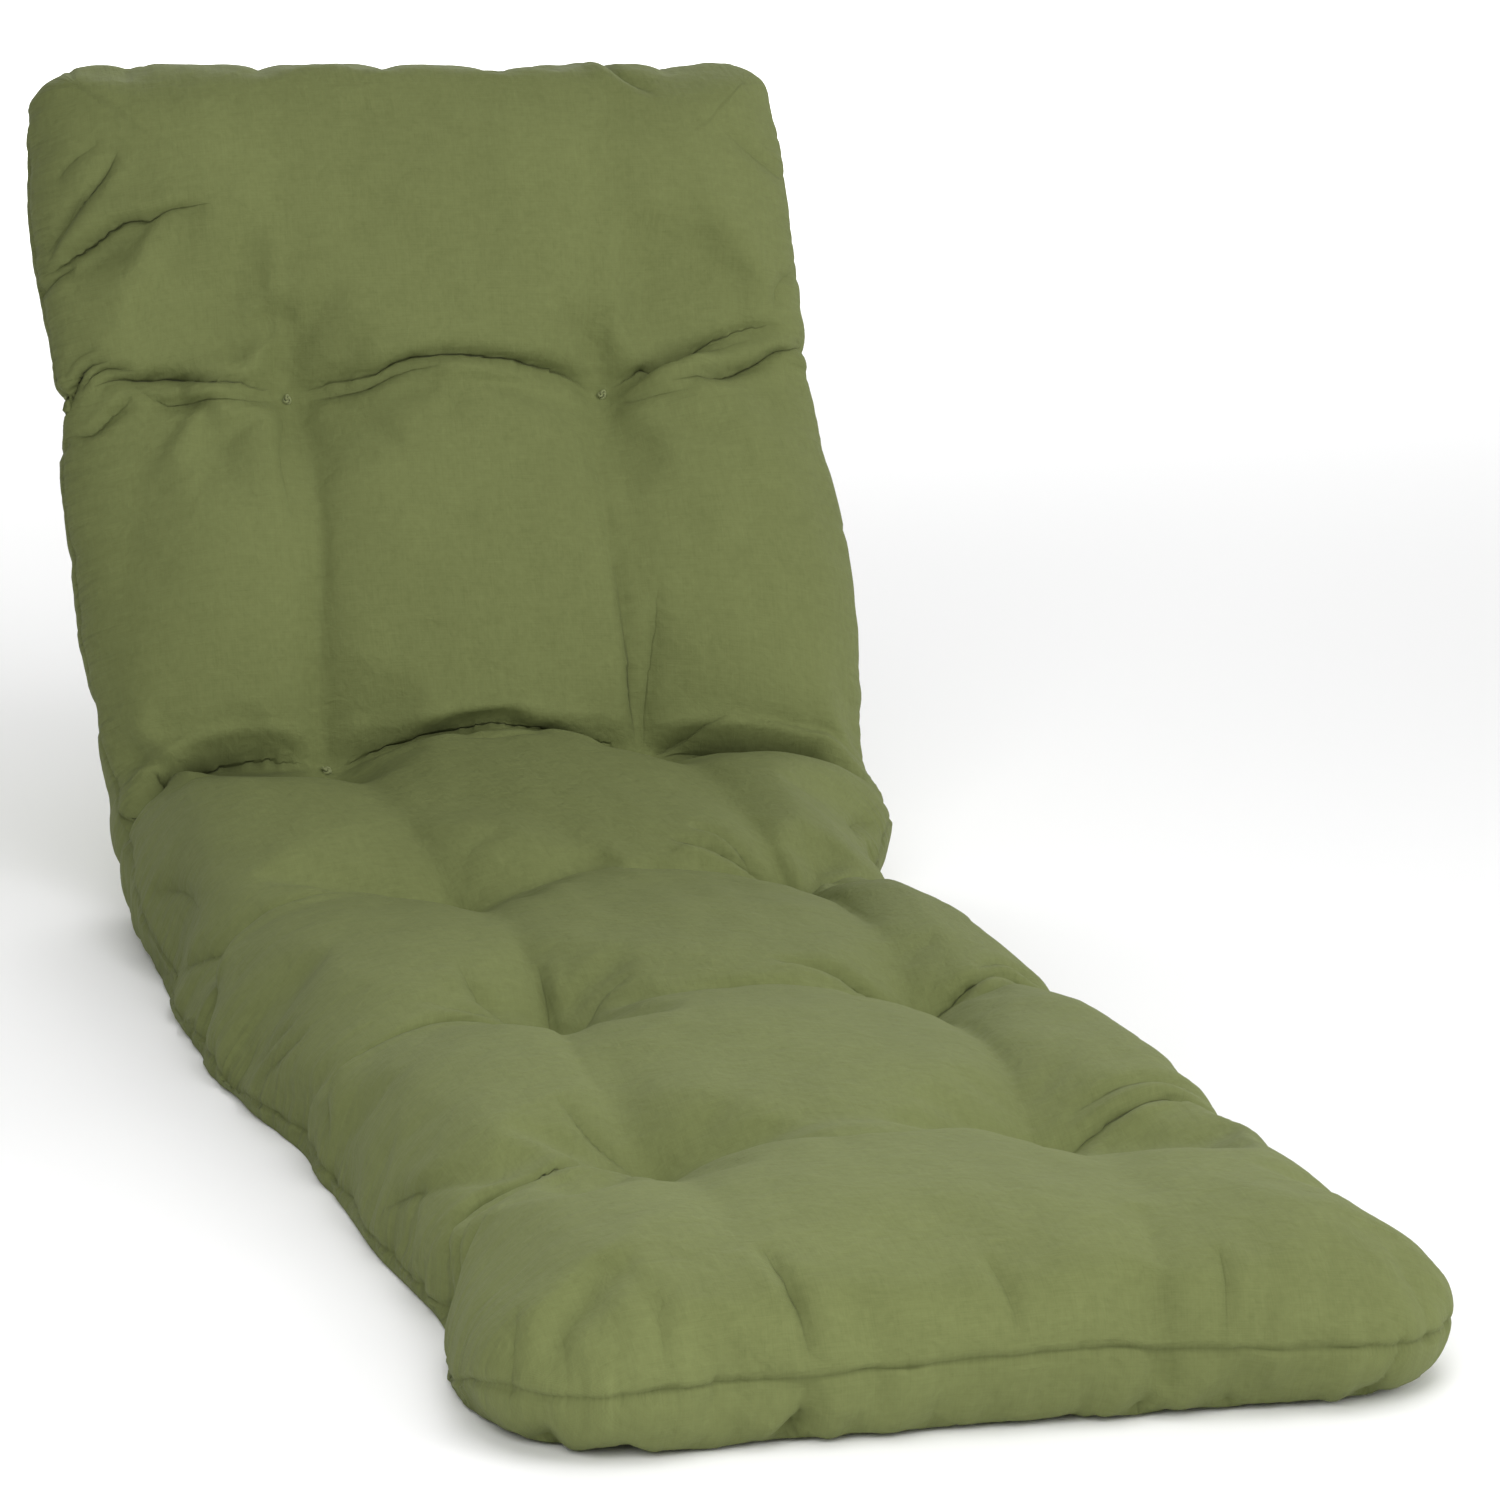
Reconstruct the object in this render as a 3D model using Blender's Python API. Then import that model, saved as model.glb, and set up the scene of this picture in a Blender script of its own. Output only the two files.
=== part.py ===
"""Sun lounger cushion: one long filled cushion, tufted in five rows of two and bent up at its fold.

Units are metres, +Z is up, the foot end points to -Y and the raised back leans towards +Y.
The cushion is first described flat and is then laid along a bent path:
u runs across it, v runs from the foot end to the head end, and n is the height over its underside.
"""
import math

import bmesh
import bpy

# Overall size, measured flat along the seam
LENGTH = 1.835
HALF_WIDTH = 0.295
FOOT_CORNER = 0.085
HEAD_CORNER = 0.036
THICKNESS = 0.096
SEAM_HEIGHT = 0.040

# Tufts: two columns, and rows counted from the foot end to the head end
TUFT_COLUMN = 0.124
FIRST_ROW = 0.312
ROW_PITCH = 0.307
TUFT_ROWS = [FIRST_ROW + ROW_PITCH * row for row in range(5)]
TUFT_PAD = 0.006
TUFT_DEPTH = 0.033
CHANNEL_DEPTH = 0.013
CHANNEL_SPREAD = 0.055
TUFT_REACH = 0.035
COLUMN_DEPTH = 0.009
COLUMN_SPREAD = 0.040
REAR_TUFT_DEPTH = 0.022
REAR_CHANNEL_DEPTH = 0.010
CROWN_FALL = 0.006
END_EASE = 0.25

# Edges: how far in from the seam each face has rounded over, and how square that rounding is
SIDE_ROUNDING = 0.090
FOOT_ROUNDING = 0.190
HEAD_ROUNDING = 0.140
FACE_SQUARENESS = 2.1
UNDERSIDE_ROUNDING = 0.038
UNDERSIDE_SQUARENESS = 2.3

# The bend: the seat lies flat, rises a little at the knee and turns up at the fold
KNEE = TUFT_ROWS[2]
KNEE_TURN = math.radians(7.0)
KNEE_RUN = 0.16
FOLD = TUFT_ROWS[3]
FOLD_TURN = math.radians(54.0)
FOLD_RUN = 0.12
HEEL_START = FOLD - 0.10
HEEL_END = FOLD + 0.03
PATH_STEP = 0.001

# Outline as it lies: place along the cushion, left edge, right edge, sideways shift of its tufts
OUTLINE_COLUMNS = ("along", "left", "right", "shift")
OUTLINE = [
    (0.000, -0.278, 0.298, 0.000),
    (0.156, -0.292, 0.297, 0.002),
    (0.312, -0.275, 0.274, 0.005),
    (0.465, -0.292, 0.287, 0.014),
    (0.619, -0.282, 0.264, 0.024),
    (0.772, -0.314, 0.272, 0.028),
    (0.926, -0.316, 0.242, 0.030),
    (1.080, -0.313, 0.268, 0.014),
    (1.233, -0.293, 0.312, 0.000),
    (1.386, -0.305, 0.320, -0.002),
    (1.540, -0.304, 0.310, -0.002),
    (1.690, -0.307, 0.298, -0.002),
    (1.835, -0.300, 0.290, -0.002),
]

# How far each row's channel runs off along the cushion at the side edges, foot row first
ROW_SLANT_COLUMNS = ("left", "right")
ROW_SLANT = [
    (-0.060, 0.040),
    (-0.060, 0.040),
    (-0.060, 0.030),
    (0.000, -0.030),
    (-0.010, 0.020),
]

# Mesh density
SIDE_STEPS = (0.0, 0.012, 0.05, 0.12, 0.23, 0.38, 0.56, 0.77, 1.0)
MIDDLE_CELLS = 8
SECTION_CELLS = 10
END_STEPS = (0.0, 0.008, 0.03, 0.07, 0.13, 0.21, 0.31, 0.43, 0.56, 0.70, 0.85, 1.0)
CROWDING = 0.5
WELD = 0.0001

# Knots of thread at the tufts
KNOT_LENGTH = 0.0090
KNOT_WIDTH = 0.0070
KNOT_HEIGHT = 0.0050
KNOT_CLEARANCE = 0.0003

CLOTH_COLOUR = (0.155, 0.178, 0.066, 1.0)
THREAD_COLOUR = (0.230, 0.255, 0.110, 1.0)


def clear_scene():
    for item in list(bpy.data.objects):
        bpy.data.objects.remove(item, do_unlink=True)


def new_collection(name):
    collection = bpy.data.collections.new(name)
    bpy.context.scene.collection.children.link(collection)
    return collection


def material(name, colour, roughness):
    mat = bpy.data.materials.new(name)
    mat.use_nodes = True
    shader = mat.node_tree.nodes["Principled BSDF"]
    shader.inputs["Base Color"].default_value = colour
    shader.inputs["Roughness"].default_value = roughness
    shader.inputs["Metallic"].default_value = 0.0
    return mat


def clamp(value, low, high):
    return max(low, min(high, value))


def ease(t):
    t = clamp(t, 0.0, 1.0)
    return t * t * (3.0 - 2.0 * t)


def mix(a, b, t):
    return a + (b - a) * t


def eased_table(places, values, v):
    """Value at v, eased from each place of a short table to the next."""
    if v <= places[0]:
        return values[0]
    for near, far, a, b in zip(places, places[1:], values, values[1:]):
        if v <= far:
            return mix(a, b, ease((v - near) / (far - near)))
    return values[-1]


def outline(v, column):
    index = OUTLINE_COLUMNS.index(column)
    return eased_table([row[0] for row in OUTLINE], [row[index] for row in OUTLINE], v)


def outer_share(u):
    """0 between the tuft columns, rising to 1 at the side edges."""
    return clamp((abs(u) - TUFT_COLUMN) / (HALF_WIDTH - TUFT_COLUMN), 0.0, 1.0)


def slant(u, v):
    index = ROW_SLANT_COLUMNS.index("left" if u < 0 else "right")
    places = [0.0] + TUFT_ROWS + [LENGTH]
    values = [0.0] + [row[index] for row in ROW_SLANT] + [0.0]
    return eased_table(places, values, v) * ease(outer_share(u))


def sideways(u, v):
    """Where a point of the flat cushion lies across, with the outline's drawn-in sides."""
    shift = outline(v, "shift")
    edge = outline(v, "right" if u > 0 else "left")
    inner = clamp(u, -TUFT_COLUMN, TUFT_COLUMN) + shift
    inner_edge = math.copysign(TUFT_COLUMN, u) + shift
    return inner + (edge - inner_edge) * outer_share(u)


def path_angle(v):
    knee = KNEE_TURN * ease((v - KNEE) / KNEE_RUN + 0.5)
    return knee + FOLD_TURN * ease((v - FOLD) / FOLD_RUN + 0.5)


def walk_path():
    """Points of the bent path that the seam's level follows, one every PATH_STEP."""
    points = [(0.0, SEAM_HEIGHT)]
    for index in range(round(LENGTH / PATH_STEP)):
        angle = path_angle((index + 0.5) * PATH_STEP)
        y, z = points[-1]
        points.append((y + math.cos(angle) * PATH_STEP, z + math.sin(angle) * PATH_STEP))
    return points


PATH = walk_path()


def path_point(v):
    t = clamp(v / PATH_STEP, 0.0, len(PATH) - 1.000001)
    index = int(t)
    (ya, za), (yb, zb) = PATH[index], PATH[index + 1]
    return mix(ya, yb, t - index), mix(za, zb, t - index)


def lay(u, v, n):
    """Moves a point of the flat cushion to where it lies."""
    along = v + slant(u, v)
    angle = path_angle(along)
    y, z = path_point(along)
    lift = n - SEAM_HEIGHT
    return sideways(u, v), y - lift * math.sin(angle), z + lift * math.cos(angle)


def past_corner(u, v):
    """The nearest corner's radius, and how far a point lies past its middle, across and along."""
    radius = FOOT_CORNER if v < LENGTH / 2 else HEAD_CORNER
    across = abs(u) - (HALF_WIDTH - radius)
    along = abs(v - LENGTH / 2) - (LENGTH / 2 - radius)
    return radius, across, along


def distance_from_edge(u, v):
    radius, across, along = past_corner(u, v)
    outside = math.hypot(max(across, 0.0), max(along, 0.0)) + min(max(across, along), 0.0)
    return max(radius - outside, 0.0)


def round_corners(u, v):
    """Turns the rectangle's corners into round ones and leaves the rest where it is."""
    radius, across, along = past_corner(u, v)
    if across <= 0.0 or along <= 0.0:
        return u, v
    across /= radius
    along /= radius
    round_u = HALF_WIDTH - radius + radius * across * math.sqrt(1 - along * along / 2)
    round_v = LENGTH / 2 - radius + radius * along * math.sqrt(1 - across * across / 2)
    return math.copysign(round_u, u), LENGTH / 2 + math.copysign(round_v, v - LENGTH / 2)


def rounding(distance, reach, squareness):
    t = clamp(1.0 - distance / reach, 0.0, 1.0)
    return (1.0 - t ** squareness) ** (1.0 / squareness)


def past_pad(distance):
    """Distance from a tuft's small flat pad."""
    return max(abs(distance) - TUFT_PAD, 0.0)


def pull(u, v, tuft_depth, channel_depth):
    """How deep the tufts and the channels between them draw the cover in."""
    column = past_pad(abs(u) - TUFT_COLUMN)
    depth = mix(channel_depth, tuft_depth, math.exp(-column / TUFT_REACH))
    row = min(past_pad(v - place) for place in TUFT_ROWS)
    return depth * math.exp(-row / CHANNEL_SPREAD)


def column_dip(u, v):
    column = past_pad(abs(u) - TUFT_COLUMN)
    ends = ease(v / END_EASE) * ease((LENGTH - v) / END_EASE)
    return COLUMN_DEPTH * ends * math.exp(-column / COLUMN_SPREAD)


def face_rounding_reach(u, v):
    """How far in the face rounds over: further at the two ends than along the sides."""
    from_side = HALF_WIDTH - abs(u)
    from_end = min(v, LENGTH - v)
    end_reach = FOOT_ROUNDING if v < LENGTH / 2 else HEAD_ROUNDING
    near_end = from_side / (from_side + from_end) if from_side + from_end > 0.0 else 0.0
    return mix(SIDE_ROUNDING, end_reach, ease(near_end))


def face_height(u, v):
    crown = THICKNESS - CROWN_FALL * (u / HALF_WIDTH) ** 2
    full = crown - pull(u, v, TUFT_DEPTH, CHANNEL_DEPTH) - column_dip(u, v)
    edge = rounding(distance_from_edge(u, v), face_rounding_reach(u, v), FACE_SQUARENESS)
    return mix(SEAM_HEIGHT, full, edge)


def underside_height(u, v):
    """Flat on the ground up to the heel, then drawn in at the back's tufts."""
    along = v + slant(u, v)
    ground = SEAM_HEIGHT - path_point(along)[1] / math.cos(path_angle(along))
    rear = pull(u, v, REAR_TUFT_DEPTH, REAR_CHANNEL_DEPTH)
    full = mix(ground, rear, ease((along - HEEL_START) / (HEEL_END - HEEL_START)))
    edge = rounding(distance_from_edge(u, v), UNDERSIDE_ROUNDING, UNDERSIDE_SQUARENESS)
    return mix(SEAM_HEIGHT, full, edge)


def crowded(start, end, cells):
    """Places from start to end, closer together near both ends; start itself is left out."""
    places = []
    for index in range(1, cells + 1):
        t = index / cells
        swung = (1.0 - math.cos(math.pi * t)) / 2
        places.append(mix(start, end, mix(t, swung, CROWDING)))
    return places


def places_across():
    outer = [mix(HALF_WIDTH, TUFT_COLUMN + TUFT_PAD, t) for t in SIDE_STEPS]
    middle = crowded(-(TUFT_COLUMN - TUFT_PAD), TUFT_COLUMN - TUFT_PAD, MIDDLE_CELLS)
    left = [-place for place in outer] + [-TUFT_COLUMN, -(TUFT_COLUMN - TUFT_PAD)]
    return left + middle + [TUFT_COLUMN] + outer[::-1]


def places_along():
    places = [mix(0.0, TUFT_ROWS[0] - TUFT_PAD, t) for t in END_STEPS]
    for row, next_row in zip(TUFT_ROWS, TUFT_ROWS[1:]):
        places += [row, row + TUFT_PAD]
        places += crowded(row + TUFT_PAD, next_row - TUFT_PAD, SECTION_CELLS)
    places += [TUFT_ROWS[-1], TUFT_ROWS[-1] + TUFT_PAD]
    return places + [mix(LENGTH, TUFT_ROWS[-1] + TUFT_PAD, t) for t in reversed(END_STEPS[:-1])]


def add_sheet(bm, height):
    """One face of the cushion: a grid whose points are set out, rounded at the corners and laid."""
    across = places_across()
    along = places_along()
    columns = len(across) - 1
    rows = len(along) - 1
    grid = bmesh.ops.create_grid(bm, x_segments=columns, y_segments=rows, size=0.5)
    for vert in grid["verts"]:
        column = round((vert.co.x + 0.5) * columns)
        row = round((vert.co.y + 0.5) * rows)
        u, v = round_corners(across[column], along[row])
        vert.co = lay(u, v, height(u, v))


def box_middle_bottom(mesh):
    lows = [min(vert.co[axis] for vert in mesh.vertices) for axis in range(3)]
    highs = [max(vert.co[axis] for vert in mesh.vertices) for axis in range(3)]
    return (lows[0] + highs[0]) / 2, (lows[1] + highs[1]) / 2, lows[2]


def make_cushion(collection):
    bm = bmesh.new()
    add_sheet(bm, face_height)
    add_sheet(bm, underside_height)
    bmesh.ops.remove_doubles(bm, verts=bm.verts, dist=WELD)
    bmesh.ops.recalc_face_normals(bm, faces=bm.faces)
    bmesh.ops.triangulate(bm, faces=bm.faces)
    mesh = bpy.data.meshes.new("cushion")
    bm.to_mesh(mesh)
    bm.free()
    mesh.shade_smooth()
    cushion = bpy.data.objects.new("cushion", mesh)
    mesh.materials.append(material("cushion_cloth", CLOTH_COLOUR, 0.75))
    collection.objects.link(cushion)
    return cushion


def make_knot(collection, name, column, row):
    """A small knot of thread that sits on the pad of its tuft."""
    u = column * TUFT_COLUMN
    bm = bmesh.new()
    bmesh.ops.create_uvsphere(bm, u_segments=10, v_segments=6, radius=0.5)
    bmesh.ops.scale(bm, vec=(KNOT_LENGTH, KNOT_WIDTH, KNOT_HEIGHT), verts=bm.verts)
    mesh = bpy.data.meshes.new(name)
    bm.to_mesh(mesh)
    bm.free()
    mesh.shade_smooth()
    knot = bpy.data.objects.new(name, mesh)
    knot.location = lay(u, row, face_height(u, row) + KNOT_CLEARANCE + KNOT_HEIGHT / 2)
    knot.rotation_euler = (path_angle(row), 0.0, 0.0)
    mesh.materials.append(material(name + "_thread", THREAD_COLOUR, 0.6))
    collection.objects.link(knot)
    return knot


def main():
    clear_scene()
    collection = new_collection("sun_lounger_cushion")
    cushion = make_cushion(collection)
    middle = box_middle_bottom(cushion.data)
    home = bpy.data.objects.new("home", None)
    home.location = [-value for value in middle]
    collection.objects.link(home)
    cushion.parent = home
    for number, row in enumerate(reversed(TUFT_ROWS), start=1):
        for side, column in (("left", -1), ("right", 1)):
            knot = make_knot(collection, f"tuft_knot_{number}_{side}", column, row)
            knot.parent = home


main()
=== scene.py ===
import math

import bpy
import numpy as np
from mathutils import Matrix, Vector


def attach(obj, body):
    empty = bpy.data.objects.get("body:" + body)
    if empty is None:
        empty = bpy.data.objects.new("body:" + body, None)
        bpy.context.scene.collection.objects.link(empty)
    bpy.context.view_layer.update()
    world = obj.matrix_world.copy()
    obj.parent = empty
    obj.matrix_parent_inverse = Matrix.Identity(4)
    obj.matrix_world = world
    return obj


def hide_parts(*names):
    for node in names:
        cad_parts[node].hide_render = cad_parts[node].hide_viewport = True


# Looks of the sun lounger cushion: its pressed-out cloth skin, seam, folds, knots, light and camera.
# Units are metres. The cushion is described flat and then laid along its bent path:
# u runs across it, v runs from the foot end to the head end, and n is the height over its underside.

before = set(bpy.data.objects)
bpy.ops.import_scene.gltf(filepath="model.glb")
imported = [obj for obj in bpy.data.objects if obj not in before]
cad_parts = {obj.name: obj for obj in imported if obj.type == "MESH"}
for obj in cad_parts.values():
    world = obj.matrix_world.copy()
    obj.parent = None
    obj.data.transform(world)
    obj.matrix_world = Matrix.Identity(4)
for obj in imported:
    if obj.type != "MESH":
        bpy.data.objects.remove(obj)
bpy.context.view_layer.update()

MILLIMETRES = 1000
TINY = 1e-9

# Sizes that the cushion's solid is built from, measured flat along the seam
LENGTH = 1.835
HALF_WIDTH = 0.295
FOOT_CORNER = 0.085
HEAD_CORNER = 0.036
THICKNESS = 0.096
SEAM_HEIGHT = 0.040
CROWN_FALL = 0.006
SIDE_ROUNDING = 0.090
FOOT_ROUNDING = 0.190
HEAD_ROUNDING = 0.140
FACE_SQUARENESS = 2.1
UNDERSIDE_ROUNDING = 0.038
UNDERSIDE_SQUARENESS = 2.3

# Tufts: two columns, and rows counted from the foot end
TUFT_COLUMN = 0.124
FIRST_ROW = 0.312
ROW_PITCH = 0.307
TUFT_ROWS = np.array([FIRST_ROW + ROW_PITCH * row for row in range(5)])
TUFTS = [(column, row) for row in TUFT_ROWS for column in (-TUFT_COLUMN, TUFT_COLUMN)]
TUFT_PAD = 0.004
TUFT_DEPTH = 0.033
TUFT_REACH = 0.031
CHANNEL_DEPTH = 0.013
CHANNEL_SPREAD = 0.055
COLUMN_DEPTH = 0.009
COLUMN_SPREAD = 0.040
REAR_TUFT_DEPTH = 0.022
REAR_CHANNEL_DEPTH = 0.010
END_EASE = 0.25

# The bend: the seat lies flat, rises a little at the knee and turns up at the fold
KNEE = TUFT_ROWS[2]
KNEE_TURN = math.radians(7.0)
KNEE_RUN = 0.16
FOLD = TUFT_ROWS[3]
FOLD_TURN = math.radians(54.0)
FOLD_RUN = 0.12
HEEL_START = FOLD - 0.10
HEEL_END = FOLD + 0.03
PATH_STEP = 0.001
RIM_STEPS = 4001

# Outline as it lies: place along the cushion, left edge, right edge, sideways shift of its tufts
OUTLINE = np.array([
    (0.000, -0.278, 0.293, 0.000),
    (0.156, -0.290, 0.295, 0.002),
    (0.312, -0.270, 0.290, 0.005),
    (0.465, -0.280, 0.294, 0.014),
    (0.619, -0.280, 0.280, 0.024),
    (0.772, -0.298, 0.270, 0.028),
    (0.926, -0.306, 0.246, 0.030),
    (1.080, -0.299, 0.262, 0.014),
    (1.233, -0.288, 0.310, 0.000),
    (1.386, -0.298, 0.320, -0.002),
    (1.540, -0.303, 0.306, -0.002),
    (1.690, -0.307, 0.298, -0.002),
    (1.835, -0.300, 0.290, -0.002),
])
# Where the middle of the cushion's outline lies
MIDDLE = np.array((0.002, 0.775354, 0.0))
# How far each row's channel runs off along the cushion at the left and right edges, foot row first
ROW_SLANT = np.array([
    (-0.060, 0.040),
    (-0.060, 0.040),
    (-0.060, 0.030),
    (0.000, -0.030),
    (-0.010, 0.020),
])
# Share of each row's channel depth that is left at the left and right edges, foot row first
ROW_SHARE = np.array([
    (0.45, 0.45),
    (0.35, 0.70),
    (0.35, 0.70),
    (1.00, 1.00),
    (1.00, 1.00),
])

# The skin's mesh: cells of the upper sheet, rings of full density under the seam, and larger cells below
CELLS_ACROSS = 84
CELLS_ALONG = 226
SEAM_LOOP = 0.0026
SEAM_SINK = 0.0026
LOWER_RINGS = 6
SEAT_BLOCK = 4
REAR_BLOCK = 2
REAR_START = 1.10

# The seam wanders a little as it runs, and hangs lower along the seat's two sides
EDGE_WAVE = 0.0018
SEAM_WANDER = 0.0030
EDGE_REACH = 0.055
FINE_EDGE = 0.5
TIP_INSET = 0.012
CORNER_CLEAR = 0.03
SEAM_DROP = 0.029
SEAM_TUCK = 0.009
DROP_PLACES = (0.03, 0.20, 1.02, 1.20)
# Places where the outline stands out or is tucked in: side, v, how far out, over what length
TIPS = [
    (-1, 1.832, -0.013, 0.030),
    (-1, 1.788, 0.004, 0.014),
    (1, 1.832, -0.004, 0.024),
    (1, 1.815, 0.002, 0.012),
    (-1, 0.838, 0.009, 0.040),
    (-1, 0.600, 0.007, 0.040),
]

# Cloth simulation
FRAMES = 20
CLOTH_SETTINGS = {
    "quality": 5,
    "mass": 0.3,
    "tension_stiffness": 15,
    "compression_stiffness": 15,
    "shear_stiffness": 5,
    "bending_stiffness": 0.3,
    "air_damping": 1.0,
    "use_pressure": True,
    "uniform_pressure_force": 2.0,
    "shrink_min": -0.035,
    "vertex_group_mass": "held",
}
MOST_MOVE = 0.012
TUFT_HOLD = 0.012
TUFT_HELD = 1.2
GROUND_HOLD = 0.003

# Random patterns: the width of a hill and the seed
LATTICE = 64
LATTICE_START = (7.3, 11.7)
PATTERNS = {
    "edge": (0.110, 31), "fine edge": (0.034, 32), "seam height": (0.085, 33),
    "fine pucker": (0.014, 11), "deep pucker": (0.052, 12), "fine patches": (0.11, 13),
    "lean": (0.15, 14), "deep patches": (0.17, 15),
    "lumps": (0.120, 21), "small lumps": (0.055, 22), "ripples": (0.021, 23),
}

# Small folds
TUFT_FOLD_HEIGHT = 0.0040
TUFT_FOLD_REACH = 0.026
TUFT_FOLD_START = 0.006
TUFT_FOLD_CELL = 0.34
TUFT_FOLD_SHARPNESS = 3.6
TUFT_FOLD_SEED = 40
TUFT_CLEAR = 0.022
FOLD_SHARPNESS = 2.2
FINE_PUCKER = 0.0026
FINE_PUCKER_REACH = 0.045
FINE_STRETCH = 0.25
FINE_PATCHES = (0.5, 0.8)
LEAST_PUCKER = 0.25
PUCKER_LEAN = 0.35
GATHER = 0.0036
GATHER_REACH = 0.045
DEEP_PATCHES = (0.35, 1.1)
DEEP_STRETCH = 0.2
DEEP_LEAN = 1.6
DEEP_BROADENED = 2.5
FOOT_CALM = 0.15
FOOT_CALM_RUN = 0.16
LUMP_HEIGHT = 0.0022
SMALL_LUMPS = 0.6
RIPPLE_HEIGHT = 0.0009
RIPPLE_STRETCH = 0.55
LUMP_FADE = 0.03
LUMPS_BELOW = 0.5
# Points of the lower sheet below this height lie on the ground and stay as they are
LYING = 0.004
# How far from the fold, and in from the rim, the folds' direction is kept steady
FOLD_STEADY = 0.045
RIM_STEADY = 0.05
# Creases: their points, how far they reach, the roll's place, width and share across the line, and how
# they close up. On the seam, where the share of the upper sheet is half, both sheets' creases act.
SEAM_OVERLAP = 0.1
CREASE_SAMPLES = 48
CREASE_WIDTHS = 8
CREASE_MARGIN = 0.03
TAPER_POWER = 0.6
ROLL_PLACE = 2.2
ROLL_WIDTH = 1.4
FAR_ROLL = 0.3
CLOSING = 0.26
CLOSING_REACH = 1.6
CLOSING_DEPTH = 0.008
MOST_CLOSED = 0.70
LEAST_SQUASH = 0.35
# Sharp lines in the finish, in relief and in painted shade, run along the creases, on five layers so that
# lines that cross keep apart
CREASE_LAYERS = 5
LINE_HALF = 0.0010
LIP_HALF = 0.0045
LIP_EDGE = -0.0016
# Hollows get painted shade from this depth on, and full painted shade this much deeper
HOLLOW_START = 0.006
HOLLOW_FULL = 0.020
DEEP_CREASE = 0.011
SHARP_WIDTH = 0.0065
LINE_POWER = 1.6
LINE_CLEAR = 0.012
LINE_FADE = 0.010

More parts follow.
